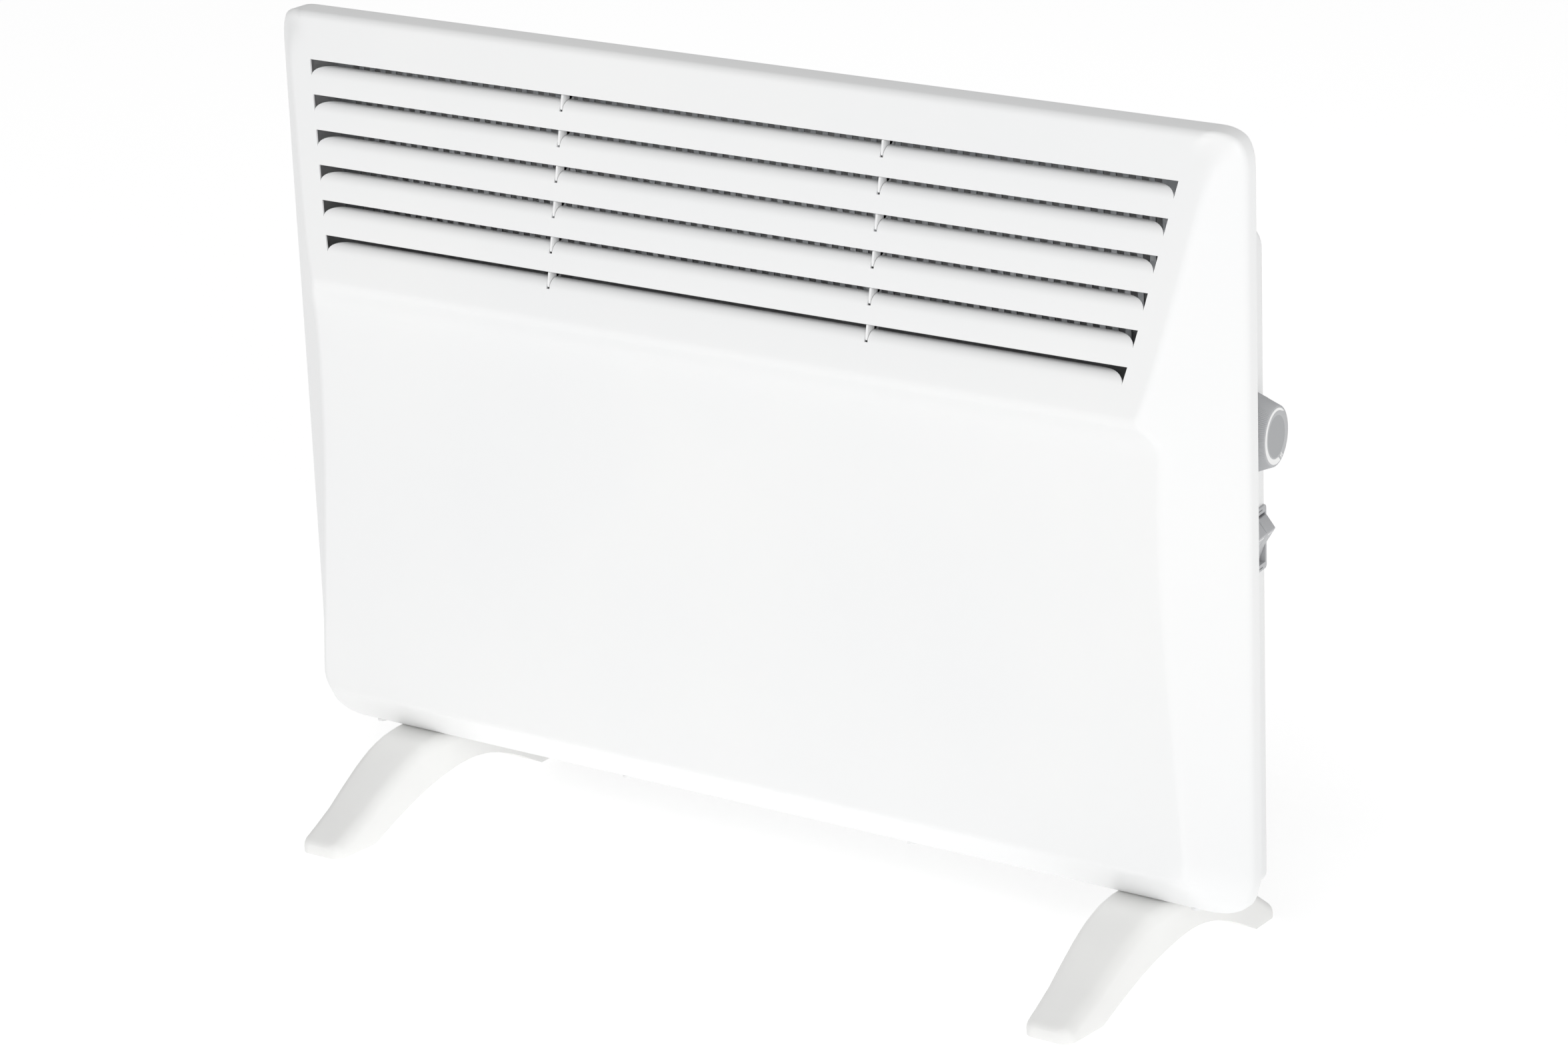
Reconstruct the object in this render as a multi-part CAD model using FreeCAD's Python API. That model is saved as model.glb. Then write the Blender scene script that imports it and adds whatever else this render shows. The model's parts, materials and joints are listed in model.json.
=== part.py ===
import FreeCAD, Part
import math
import os

# Natural convection panel heater that stands on two arched feet.
# Frame: Z up from the floor, X along the width, the front faces -Y, the control side is +X.
# The origin is on the floor, midway between the foot tips. Sizes are in millimetres.

V = FreeCAD.Vector

# overall sizes
panel_width = 595.0
panel_height = 400.0
ground_gap = 43.6
foot_length = 190.0

# how far a cutting solid stands past what it cuts
over = 1.0
deep = 200.0

# front panel
sheet = 1.0
rim_y = 2.5
flange_depth = 7.5
top_corner_radius = 15.0
bottom_corner_radius = 22.0
top_front_depth = 16.3
louvre_lean = 11.5
louvre_height = 140.0
louvre_crease_inset = 9.8
lower_face_depth = 35.2
step_underside_drop = 38.0
lower_crease_top_inset = 34.3
lower_crease_mid_inset = 30.8
lower_crease_bottom_inset = 21.0
lower_crease_height = 24.5
crease_corner_radius = 9.0
louvre_corner_radius = 12.0

# louvres
slot_count = 6
slot_pitch = 17.86
slot_height = 8.6
first_slot_drop = 24.0
slot_side_margin = 15.0
scoop_radius = 6.3
scoop_angle = 75.0
rib_offset = 99.2
rib_thickness = 1.2
rib_depth = 13.0
rib_clearance = 0.4
rib_overlap = 4.0
rib_pocket_front = 0.9
rib_pocket_back = 2.2
slot_cut_front = 3.0
slot_cut_back = 4.0
lower_top_lap = 2.0
rim_step_radius = 2.0
crease_inset_share = 0.4

# guard grille behind the louvres
grille_gap = 0.5
grille_flange = 3.0
grille_half_width = 262.0
grille_bottom_drop = 122.0
grille_pitch = 7.3
grille_slot_width = 4.0
grille_rows = 3
grille_bar = 7.0

# rear housing
housing_wall = 1.0
housing_depth = 40.0
housing_draft = 7.5
housing_rim_half_width = 282.8
housing_top_slope_drop = 23.0
housing_corner_radius = 6.0
panel_fit_gap = 0.2
lip_front_gap = 0.4
lip_end_gap = 2.0
tray_lap = 1.0
wall_hole_reach = 6.0
wall_cut_reach = 5.0
shaft_hole_gap = 1.0
inlet_slot_width = 4.0
inlet_slot_pitch = 9.0
inlet_slot_count = 40
inlet_slot_length = 24.0
inlet_front_margin = 6.0
emboss_depth = 2.0
emboss_height = 12.0
emboss_low_rise = 90.0
emboss_high_drop = 60.0
emboss_side_margin = 60.0

# feet
foot_offset = 232.4
foot_width = 37.0
foot_front_width = 27.0
foot_rear_width = 35.0
foot_arch_height = 23.6
foot_arch_crown_y = 12.0
foot_front_sole = 29.0
foot_rear_sole = 19.0
foot_toe_height = 6.0
foot_round = 3.0
foot_screw_front_y = 12.0
foot_screw_spacing = 20.0
foot_floor = 6.0
foot_screw_count = 2
foot_head_gap = 0.6
foot_pad_inset = 2.0
foot_pad_gap = 0.2
foot_shoulder_front = 10.5
foot_shoulder_rear = 1.5
foot_shoulder_drop = 7.5
foot_knee_back = 38.5
foot_knee_drop = 19.0
foot_edge_shortest = 12.0
foot_edge_widest = 8.0
foot_edge_lowest = 4.0
foot_edge_slack = 3.0

# fasteners
screw_radius = 2.0
screw_head_radius = 3.8
screw_head_height = 2.2
case_screw_head_radius = 2.8
case_screw_head_height = 1.3
screw_drive_width = 0.8
screw_drive_depth = 0.9
screw_drive_share = 0.63
foot_screw_grip = 8.0
case_screw_length = 8.0
screw_clearance = 0.15
case_screw_spread = 262.5
case_screw_inner = 92.0
case_screw_inset = 4.0

# thermostat and knob, given along the drafted side wall
knob_height_z = 286.0
knob_back = 19.8
knob_base_radius = 20.5
knob_face_radius = 15.2
knob_length = 13.6
knob_wall_gap = 0.6
knob_teeth = 60
knob_tooth_depth = 0.5
knob_recess_radius = 13.2
knob_recess_depth = 0.5
shaft_radius = 3.0
shaft_flat = 0.8
shaft_in_knob = 9.0
shaft_in_body = 14.0
shaft_clearance = 0.05
thermostat_width = 28.0
thermostat_height = 34.0
thermostat_depth = 25.0
thermostat_blade_offset = 7.0
shaft_end_gap = 0.3
shaft_flat_reach = 5.0
knob_bore_gap = 0.2

# twin rocker switch, given along the drafted side wall
switch_height_z = 227.8
switch_back = 26.5
bezel_height = 33.0
bezel_width = 25.0
bezel_thickness = 1.0
bezel_round = 2.0
switch_body_depth = 18.0
switch_wall = 1.8
rocker_half_height = 11.5
rocker_width = 9.9
rocker_gap = 0.6
rocker_side_gap = 0.3
rocker_tilt = 12.0
rocker_crown = 1.6
rocker_back = 3.0
rocker_end_gap = 0.5
rocker_pivot_depth = 0.5
rocker_floor_depth = 7.0
pin_radius = 1.0
pin_clearance = 0.03
pin_seat = 1.0
blade_width = 4.8
blade_thickness = 0.8
blade_length = 8.0
switch_blade_offset = 5.4
switch_blade_pitch = 9.0
rocker_back_inset = 1.0

# heating element, shield and the parts that carry them
element_z = 130.0
element_y = 4.0
element_left = -226.0
element_right = 198.0
element_wing_z = 26.0
element_wing_y = 15.0
element_wing_thickness = 2.4
element_core_radius = 8.0
rod_radius = 4.0
rod_clearance = 0.05
rod_overhang = 26.0
stud_length = 8.0
element_rib_shares = (0.55, 0.78)
element_rib_half = 0.7
element_rib_reach = 4.0
bracket_gap = 9.0
bracket_thickness = 1.2
bracket_height = 50.0
bracket_foot = 16.0
bushing_radius = 8.0
bushing_flange_radius = 11.0
bushing_flange = 2.5
bushing_tail = 3.0
bracket_margin = 3.0
shield_y = 30.0
shield_thickness = 0.8
shield_bottom = 88.0
shield_top = 205.0
shield_end_gap = 4.0
cutout_x = 60.0
cutout_z = 188.0
cutout_radius = 8.0
cutout_depth = 7.0
cutout_ear_reach = 12.0
cutout_ear_thickness = 0.8
cutout_ear_half = 4.0
cutout_blade_offset = 4.0
cutout_blade_length = 6.0
cutout_blade_half = 3.0
partition_x = 226.0
partition_thickness = 1.0
partition_bottom_gap = 0.2
partition_height = 290.0
partition_front_gap = 0.6
rod_window_radius = 11.0
partition_nose_rise = 12.0
partition_seat_reach = 12.0
partition_seat_rise = 20.0
partition_keep_gap = 3.0

# small electrical parts on the control side
tilt_size = (18.0, 20.0, 24.0)
tilt_z = 58.0
tilt_front = 6.0
tilt_blade_front = 12.0
tilt_blade_pitch = 7.0
tilt_blade_low = 9.0
tilt_blade_high = 14.0
tilt_blade_length = 6.0
terminal_size = (38.0, 13.0, 26.0)
terminal_z = 96.0
terminal_gap = 4.0
terminal_ways = 3
terminal_well_half = 3.6
terminal_well_depth = 6.0
terminal_well_margin = 4.0
gland_x = 252.0
gland_z = 70.0
gland_bore = 3.8
gland_neck = 6.4
gland_flange_radius = 10.0
gland_flange = 3.5
gland_inner = 7.0
gland_hole_gap = 0.1
gland_collar = 1.6

# values that follow from the sizes above
panel_half = panel_width / 2
panel_bottom = ground_gap
panel_top = panel_bottom + panel_height
chamfer_y = rim_y - flange_depth
louvre_top_y = rim_y - top_front_depth
louvre_bottom_z = panel_top - louvre_height
lower_face_y = rim_y - lower_face_depth
lean = math.radians(louvre_lean)
housing_rear_y = rim_y + housing_depth
housing_bottom = panel_bottom + sheet + panel_fit_gap
housing_rim_top = panel_top - housing_top_slope_drop
housing_rear_top = housing_rim_top - housing_depth
draft = math.radians(housing_draft)
housing_rear_half = housing_rim_half_width - housing_depth * math.tan(draft)
rear_inside_y = housing_rear_y - housing_wall
foot_front_y = -foot_length / 2
foot_rear_y = foot_length / 2


def box(x0, x1, y0, y1, z0, z1):
    return Part.makeBox(x1 - x0, y1 - y0, z1 - z0, V(x0, y0, z0))


def rod(start, direction, radius, length):
    return Part.makeCylinder(radius, length, V(*start), V(*direction))


def line(a, b):
    return Part.LineSegment(V(*a), V(*b)).toShape()


def arc(a, mid, b):
    return Part.Arc(V(*a), V(*mid), V(*b)).toShape()


def prism(points, direction):
    wire = Part.makePolygon([V(*p) for p in points] + [V(*points[0])])
    return Part.Face(wire).extrude(V(*direction))


def group(solids):
    return Part.makeCompound(solids)


def one_solid(shape):
    solid = shape.removeSplitter()
    return solid.Solids[0] if len(solid.Solids) == 1 else solid


def louvre_y(z):
    # front surface of the leaning louvre field at height z
    return louvre_top_y - (panel_top - z) * math.tan(lean)


def louvre_half_width(z):
    # the side creases come in as the field leans out, because the side chamfer is at 45 degrees
    return panel_half - louvre_crease_inset - (panel_top - z) * math.tan(lean)


def rounded_outline(left, right, bottom, top, low_radius, high_radius, place):
    # closed outline of a rectangle with rounded corners; place turns (x, z) into a point
    k = 1 - math.sqrt(0.5)
    lr, hr = low_radius, high_radius
    edges = [
        line(place(left + lr, bottom), place(right - lr, bottom)),
        arc(place(right - lr, bottom), place(right - lr * k, bottom + lr * k), place(right, bottom + lr)),
        line(place(right, bottom + lr), place(right, top - hr)),
        arc(place(right, top - hr), place(right - hr * k, top - hr * k), place(right - hr, top)),
        line(place(right - hr, top), place(left + hr, top)),
        arc(place(left + hr, top), place(left + hr * k, top - hr * k), place(left, top - hr)),
        line(place(left, top - hr), place(left, bottom + lr)),
        arc(place(left, bottom + lr), place(left + lr * k, bottom + lr * k), place(left + lr, bottom)),
    ]
    return Part.Wire(edges)


def louvre_block(inset):
    # upper part of the panel: rim outline joined to the leaning louvre field
    half = panel_half - inset
    bottom = louvre_bottom_z - step_underside_drop + inset
    top = panel_top - inset
    start_y = chamfer_y
    flat = rounded_outline(-half, half, bottom, top, rim_step_radius, top_corner_radius - inset,
                           lambda x, z: (x, start_y, z))
    low_z = louvre_bottom_z + inset
    high_half = louvre_half_width(panel_top) - inset
    low_half = louvre_half_width(louvre_bottom_z) - inset
    shift = inset / math.cos(lean)
    k = 1 - math.sqrt(0.5)
    lr, hr = louvre_corner_radius - inset, crease_corner_radius - inset
    slope = (high_half - low_half) / (top - low_z)

    def at(x, z):
        return (x, louvre_y(z) + shift, z)

    def side(z):
        return low_half + (z - low_z) * slope

    edges = []
    for sign in (1, -1):
        low = [(side(low_z) - lr, low_z), (side(low_z) - lr * k, low_z + lr * k), (side(low_z + lr), low_z + lr)]
        high = [(side(top - hr), top - hr), (side(top) - hr * k, top - hr * k), (side(top) - hr, top)]
        if sign < 0:
            low, high = low[::-1], high[::-1]
        low = [at(sign * x, z) for x, z in low]
        high = [at(sign * x, z) for x, z in high]
        if sign > 0:
            edges += [arc(*low), line(low[2], high[0]), arc(*high)]
            right_low, right_high = low[0], high[2]
        else:
            edges += [line(right_high, high[0]), arc(*high), line(high[2], low[0]), arc(*low)]
            edges.insert(0, line(low[2], right_low))
    field = Part.Wire(edges)
    return Part.makeLoft([flat, field], True, True)


def lower_block(inset):
    # lower part of the panel: rim outline joined to the upright face, whose side creases flare downwards
    half = panel_half - inset
    top = louvre_bottom_z + lower_top_lap - inset
    bottom = panel_bottom + inset
    radius = bottom_corner_radius - inset
    k = 1 - math.sqrt(0.5)

    def rim(x, z):
        return (x, chamfer_y, z)

    def face(x, z):
        return (x, lower_face_y + inset, z)

    flat = Part.Wire([
        line(rim(-half + radius, bottom), rim(half - radius, bottom)),
        arc(rim(half - radius, bottom), rim(half - radius * k, bottom + radius * k), rim(half, bottom + radius)),
        line(rim(half, bottom + radius), rim(half, top)),
        line(rim(half, top), rim(-half, top)),
        line(rim(-half, top), rim(-half, bottom + radius)),
        arc(rim(-half, bottom + radius), rim(-half + radius * k, bottom + radius * k),
            rim(-half + radius, bottom)),
    ])
    low = panel_bottom + lower_crease_height + inset * crease_inset_share
    corner = crease_corner_radius - inset
    side_low = low + corner
    x_low = half - lower_crease_bottom_inset + inset * crease_inset_share
    x_mid = half - lower_crease_mid_inset + inset * crease_inset_share
    x_top = half - lower_crease_top_inset + inset * crease_inset_share
    z_mid = panel_bottom + (louvre_bottom_z - panel_bottom) / 2
    front = Part.Wire([
        line(face(-x_low + corner, low), face(x_low - corner, low)),
        arc(face(x_low - corner, low), face(x_low - corner * k, low + corner * k), face(x_low, side_low)),
        arc(face(x_low, side_low), face(x_mid, z_mid), face(x_top, top)),
        line(face(x_top, top), face(-x_top, top)),
        arc(face(-x_top, top), face(-x_mid, z_mid), face(-x_low, side_low)),
        arc(face(-x_low, side_low), face(-x_low + corner * k, low + corner * k), face(-x_low + corner, low)),
    ])
    return Part.makeLoft([flat, front], True, True)


def panel_body(inset, rear_y):
    skirt_outline = rounded_outline(-panel_half + inset, panel_half - inset, panel_bottom + inset,
                                    panel_top - inset, bottom_corner_radius - inset,
                                    top_corner_radius - inset, lambda x, z: (x, rear_y, z))
    skirt = Part.Face(skirt_outline).extrude(V(0, chamfer_y - rear_y, 0))
    body = skirt.fuse([lower_block(inset), louvre_block(inset)])
    return one_solid(body)


def slot_top(row):
    return panel_top - first_slot_drop - slot_pitch * row


def slot_half(row):
    return louvre_half_width(slot_top(row)) - slot_side_margin


def field_point(x, z, depth):
    # a point at the given depth behind the louvre field, measured along its normal
    return (x, louvre_y(z) + depth * math.cos(lean), z - depth * math.sin(lean))


def scoop(row):
    # curved tongue that bends in and up from the lower edge of a slot
    low = slot_top(row) - slot_height
    half = slot_half(row)
    sweep = math.radians(scoop_angle)

    def curve(radius, angle):
        rise = radius * math.sin(angle)
        depth = scoop_radius - radius * math.cos(angle)
        return field_point(-half, low + rise * math.cos(lean), depth)

    inner = scoop_radius - sheet
    profile = Part.Wire([
        arc(curve(scoop_radius, 0), curve(scoop_radius, sweep / 2), curve(scoop_radius, sweep)),
        line(curve(scoop_radius, sweep), curve(inner, sweep)),
        arc(curve(inner, sweep), curve(inner, sweep / 2), curve(inner, 0)),
        line(curve(inner, 0), curve(scoop_radius, 0)),
    ])
    tongue = Part.Face(profile).extrude(V(2 * half, 0, 0))
    notch = rib_thickness / 2 + rib_clearance
    gaps = [box(x - notch, x + notch, -deep, deep, low + sheet, low + slot_height)
            for x in (-rib_offset, rib_offset)]
    return tongue.cut(group(gaps))


def slot_cut(row):
    top = slot_top(row)
    low = top - slot_height
    half = slot_half(row)
    corners = [field_point(-half, low, -slot_cut_front), field_point(-half, top, -slot_cut_front),
               field_point(-half, top, slot_cut_back), field_point(-half, low, slot_cut_back)]
    return prism(corners, (2 * half, 0, 0))


def bottom_screw_places():
    y = rim_y - case_screw_inset
    return [(x, y) for x in (-case_screw_spread, -case_screw_inner, case_screw_inner, case_screw_spread)]


def front_panel():
    shell = panel_body(0, rim_y).cut(panel_body(sheet, rim_y + over))
    shell = shell.cut(group([slot_cut(row) for row in range(slot_count)]))
    shell = shell.fuse([scoop(row) for row in range(slot_count)])
    radius = screw_radius + screw_clearance
    holes = [rod((x, y, panel_bottom - over), (0, 0, 1), radius, sheet + 2 * over)
             for x, y in bottom_screw_places()]
    return one_solid(shell.cut(group(holes)))


def louvre_rib(x_centre):
    # comb plate behind the louvres: its spine lies on the strips and its fingers fill the slots
    x = x_centre - rib_thickness / 2
    top = slot_top(0) + rib_overlap
    bottom = slot_top(slot_count - 1) - slot_height - rib_overlap
    spine = prism([field_point(x, bottom, sheet), field_point(x, top, sheet),
                   field_point(x, top, rib_depth), field_point(x, bottom, rib_depth)], (rib_thickness, 0, 0))
    parts = [spine]
    for row in range(slot_count):
        high = slot_top(row) - rib_clearance
        low = slot_top(row) - slot_height + sheet + rib_clearance
        finger = prism([field_point(x, low, 0), field_point(x, high, 0), field_point(x, high, sheet + over),
                        field_point(x, low, sheet + over)], (rib_thickness, 0, 0))
        parts.append(finger)
    comb = parts[0].fuse(parts[1:])
    clear = []
    for row in range(slot_count):
        low = slot_top(row) - slot_height - over
        high = low + over + sheet + rib_clearance
        near, far, left = rib_pocket_front, rib_pocket_back, x - over
        corners = [field_point(left, low, near), field_point(left, high, near),
                   field_point(left, high, far), field_point(left, low, far)]
        clear.append(prism(corners, (rib_thickness + 2 * over, 0, 0)))
    return one_solid(comb.cut(group(clear)))


def guard_grille():
    top = panel_top - sheet
    grille_y = field_point(0, slot_top(0) + rib_overlap, rib_depth)[1] + grille_gap
    bottom = panel_top - grille_bottom_drop
    plate = box(-grille_half_width, grille_half_width, grille_y, grille_y + sheet, bottom, top)
    row_pitch = (top - bottom - grille_bar) / grille_rows
    columns = int((2 * grille_half_width - 2 * grille_bar) / grille_pitch)
    start = -columns * grille_pitch / 2 + (grille_pitch - grille_slot_width) / 2
    windows = []
    for row in range(grille_rows):
        low = bottom + grille_bar + row * row_pitch
        for column in range(columns):
            x = start + column * grille_pitch
            windows.append(box(x, x + grille_slot_width, grille_y - over, grille_y + sheet + over,
                               low, low + row_pitch - grille_bar))
    flange = box(-grille_half_width, grille_half_width, grille_y, grille_y + grille_flange, top - sheet, top)
    return one_solid(plate.cut(group(windows)).fuse(flange))


def housing_outline(inset, y):
    # drafted sides and a 45 degree top, set in by the same thickness all round
    half = housing_rim_half_width - (y - rim_y) * math.tan(draft) - inset / math.cos(draft)
    top = housing_rim_top - (y - rim_y) - inset * math.sqrt(2)
    radius = housing_corner_radius - inset
    return rounded_outline(-half, half, housing_bottom + inset, top, radius, radius, lambda x, z: (x, y, z))


def housing_shape(inset, front_y):
    outlines = [housing_outline(inset, front_y), housing_outline(inset, housing_rear_y - inset)]
    return Part.makeLoft(outlines, True, True)


def wall_place(back, z):
    # local frame on the outside of the drafted +X wall: x outwards, y along the wall to the rear
    x = housing_rim_half_width - back * math.tan(draft)
    return FreeCAD.Placement(V(x, rim_y + back, z), FreeCAD.Rotation(V(0, 0, 1), housing_draft))


def placed(shape, back, z):
    copy = shape.copy()
    copy.Placement = wall_place(back, z)
    return copy


def switch_cutout_size():
    # half sizes of the moulded body that passes through the side wall
    half_y = rocker_width + rocker_gap / 2 + rocker_side_gap + switch_wall
    half_z = rocker_reach() + rocker_end_gap + switch_wall
    return half_y, half_z


def rocker_reach():
    # largest distance of a rocker's tip from its pivot
    tip = rocker_crown + rocker_half_height * math.tan(math.radians(rocker_tilt))
    return math.hypot(rocker_half_height, tip)


def rear_housing():
    tray_y = rim_y - tray_lap
    tray = housing_shape(0, tray_y).cut(housing_shape(housing_wall, tray_y - over))
    edge = sheet + panel_fit_gap
    flange_outline = rounded_outline(-panel_half + edge, panel_half - edge, panel_bottom + edge,
                                     panel_top - edge, bottom_corner_radius - edge,
                                     top_corner_radius - edge, lambda x, z: (x, tray_y - housing_wall, z))
    flange = Part.Face(flange_outline).extrude(V(0, housing_wall, 0))
    opening = Part.Face(housing_outline(housing_wall, tray_y)).extrude(V(0, -housing_wall - over, 0))
    flange = flange.cut(opening)
    lip_half = panel_half - bottom_corner_radius - lip_end_gap
    low_lip = box(-lip_half, lip_half, chamfer_y + lip_front_gap, tray_y, panel_bottom + edge,
                  panel_bottom + edge + housing_wall)
    body = tray.fuse([flange, low_lip])
    cuts = [rod((x, y, panel_bottom), (0, 0, 1), screw_radius + screw_clearance, wall_hole_reach)
            for x, y in bottom_screw_places()]
    cuts += inlet_slots()
    cuts += [rod((x, y, housing_bottom - over), (0, 0, 1), screw_radius + screw_clearance, wall_hole_reach)
             for x, y in foot_screw_places()]
    reach = wall_cut_reach
    cuts.append(rod((gland_x, housing_rear_y - reach, gland_z), (0, 1, 0), gland_neck + gland_hole_gap,
                    2 * reach))
    shaft_hole = rod((-reach, 0, 0), (1, 0, 0), shaft_radius + shaft_hole_gap, 2 * reach)
    cuts.append(placed(shaft_hole, knob_back, knob_height_z))
    half_y, half_z = switch_cutout_size()
    gap = panel_fit_gap
    cuts.append(placed(box(-reach, reach, -half_y - gap, half_y + gap, -half_z - gap, half_z + gap),
                       switch_back, switch_height_z))
    body = body.cut(group(cuts))
    return one_solid(body.fuse(rear_embosses()).cut(group(rear_emboss_hollows())))


def inlet_slots():
    first = -(inlet_slot_count - 1) / 2 * inlet_slot_pitch
    low_y = rim_y + inlet_front_margin
    return [box(first + i * inlet_slot_pitch - inlet_slot_width / 2,
                first + i * inlet_slot_pitch + inlet_slot_width / 2,
                low_y, low_y + inlet_slot_length, housing_bottom - over, housing_bottom + housing_wall + over)
            for i in range(inlet_slot_count)]


def emboss_levels():
    return [housing_bottom + emboss_low_rise, housing_rear_top - emboss_high_drop]


def rear_embosses():
    # two shallow pressed bars that stiffen the rear wall
    half = housing_rear_half - emboss_side_margin
    return [box(-half, half, rear_inside_y, housing_rear_y + emboss_depth, z, z + emboss_height)
            for z in emboss_levels()]


def rear_emboss_hollows():
    half = housing_rear_half - emboss_side_margin - housing_wall
    return [box(-half, half, rear_inside_y - over, housing_rear_y + emboss_depth - housing_wall,
                z + housing_wall, z + emboss_height - housing_wall) for z in emboss_levels()]


def foot_screw_places():
    return [(side * foot_offset, foot_screw_front_y + i * foot_screw_spacing)
            for side in (-1, 1) for i in range(foot_screw_count)]


def foot(side):
    # arched bracket, drawn as a side outline in (y, z) and trimmed by its plan
    top = panel_bottom
    front_sole_end = foot_front_y + foot_front_sole
    rear_sole_end = foot_rear_y - foot_rear_sole
    crown_y = foot_arch_crown_y
    half = foot_width / 2

    def at(y, z):
        return (-half, y, z)

    def arch(y, start):
        # height of the arch on the way from a sole end to the crown
        share = (y - start) / (crown_y - start)
        return foot_arch_height * math.sin(share * math.pi / 2)

    front_mid = (front_sole_end + crown_y) / 2
    rear_mid = (rear_sole_end + crown_y) / 2
    shoulder_y = rim_y - foot_shoulder_front
    knee_y = foot_front_y + foot_knee_back
    knee_z = top - foot_knee_drop
    rear_shoulder = housing_rear_y - foot_shoulder_rear
    outline = Part.Wire([
        line(at(foot_front_y, 0), at(front_sole_end, 0)),
        arc(at(front_sole_end, 0), at(front_mid, arch(front_mid, front_sole_end)), at(crown_y, foot_arch_height)),
        arc(at(crown_y, foot_arch_height), at(rear_mid, arch(rear_mid, rear_sole_end)), at(rear_sole_end, 0)),
        line(at(rear_sole_end, 0), at(foot_rear_y, 0)),
        line(at(foot_rear_y, 0), at(foot_rear_y, foot_toe_height)),
        line(at(foot_rear_y, foot_toe_height), at(rear_shoulder, top)),
        line(at(rear_shoulder, top), at(shoulder_y, top)),
        arc(at(shoulder_y, top), at((shoulder_y + knee_y) / 2, top - foot_shoulder_drop), at(knee_y, knee_z)),
        line(at(knee_y, knee_z), at(foot_front_y, foot_toe_height)),
        line(at(foot_front_y, foot_toe_height), at(foot_front_y, 0)),
    ])
    body = Part.Face(outline).extrude(V(foot_width, 0, 0))
    front, rear = foot_front_width / 2, foot_rear_width / 2
    plan = [(-front, foot_front_y - over, -over), (front, foot_front_y - over, -over),
            (half, shoulder_y, -over), (half, rear_shoulder, -over), (rear, foot_rear_y + over, -over),
            (-rear, foot_rear_y + over, -over), (-half, rear_shoulder, -over), (-half, shoulder_y, -over)]
    body = body.common(prism(plan, (0, 0, top + 2 * over)))
    upper = [edge for edge in body.Edges if is_upper_side_edge(edge)]
    body = body.makeFillet(foot_round, upper)
    inset = foot_pad_inset
    pad = box(-half + inset, half - inset, rim_y + foot_pad_gap, rear_shoulder - inset, top - inset,
              housing_bottom)
    body = body.fuse(pad)
    for i in range(foot_screw_count):
        y = foot_screw_front_y + i * foot_screw_spacing
        body = body.cut(rod((0, y, 0), (0, 0, 1), screw_radius + screw_clearance, housing_bottom + over))
        body = body.cut(rod((0, y, 0), (0, 0, 1), screw_head_radius + foot_head_gap, top - foot_floor))
    body = one_solid(body)
    body.translate(V(side * foot_offset, 0, 0))
    return body


def is_upper_side_edge(edge):
    # the long edges of the foot's upper surface in front of and behind the panel
    centre = edge.CenterOfMass
    along = edge.BoundBox.YLength > foot_edge_shortest and edge.BoundBox.XLength < foot_edge_widest
    high = centre.z > foot_toe_height + foot_edge_lowest and edge.BoundBox.ZMin > foot_toe_height - over
    at_side = abs(centre.x) > foot_front_width / 2 - foot_edge_slack
    return along and high and at_side and is_outside_arch(edge)


def is_outside_arch(edge):
    # an edge above the arch: its lowest point is higher than the arch there
    y = edge.CenterOfMass.y
    return y < rim_y - foot_shoulder_front or y > housing_rear_y - foot_shoulder_rear


def pan_screw(x, y, head_z, length, head_radius, head_height):
    # a screw that points up from its head, which starts at head_z
    head = rod((x, y, head_z), (0, 0, 1), head_radius, head_height)
    reach = head_radius * screw_drive_share
    half = screw_drive_width / 2
    drive = box(x - reach, x + reach, y - half, y + half, head_z - over, head_z + screw_drive_depth)
    cross = box(x - half, x + half, y - reach, y + reach, head_z - over, head_z + screw_drive_depth)
    shank = rod((x, y, head_z + head_height), (0, 0, 1), screw_radius, length)
    return one_solid(head.fuse(shank).cut(group([drive, cross])))


def foot_screws(side):
    head_z = panel_bottom - foot_floor - screw_head_height
    places = [place for place in foot_screw_places() if place[0] * side > 0]
    return group([pan_screw(x, y, head_z, foot_floor + foot_screw_grip, screw_head_radius, screw_head_height)
                  for x, y in places])


def case_screws():
    head_z = panel_bottom - case_screw_head_height
    return group([pan_screw(x, y, head_z, case_screw_length, case_screw_head_radius, case_screw_head_height)
                  for x, y in bottom_screw_places()])


def thermostat_body():
    half_y, half_z = thermostat_width / 2, thermostat_height / 2
    front = -housing_wall
    body = box(front - thermostat_depth, front, -half_y, half_y, -half_z, half_z)
    bore = rod((front - shaft_in_body, 0, 0), (1, 0, 0), shaft_radius + shaft_clearance,
               shaft_in_body + over)
    blades = [box(front - thermostat_depth - blade_length, front - thermostat_depth, y - blade_width / 2,
                  y + blade_width / 2, -blade_thickness / 2, blade_thickness / 2)
              for y in (-thermostat_blade_offset, thermostat_blade_offset)]
    return placed(one_solid(body.cut(bore).fuse(blades)), knob_back, knob_height_z)


def thermostat_shaft():
    start = -housing_wall - shaft_in_body + shaft_end_gap
    end = knob_wall_gap + shaft_in_knob
    shaft = rod((start, 0, 0), (1, 0, 0), shaft_radius, end - start)
    reach = shaft_flat_reach
    flat = box(knob_wall_gap, end + over, shaft_radius - shaft_flat, shaft_radius + over, -reach, reach)
    return placed(one_solid(shaft.cut(flat)), knob_back, knob_height_z)


def toothed_outline(radius, x):
    points = []
    for i in range(2 * knob_teeth):
        angle = math.pi * i / knob_teeth
        r = radius - (knob_tooth_depth if i % 2 else 0)
        points.append(V(x, r * math.cos(angle), r * math.sin(angle)))
    return Part.makePolygon(points + [points[0]])


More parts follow.
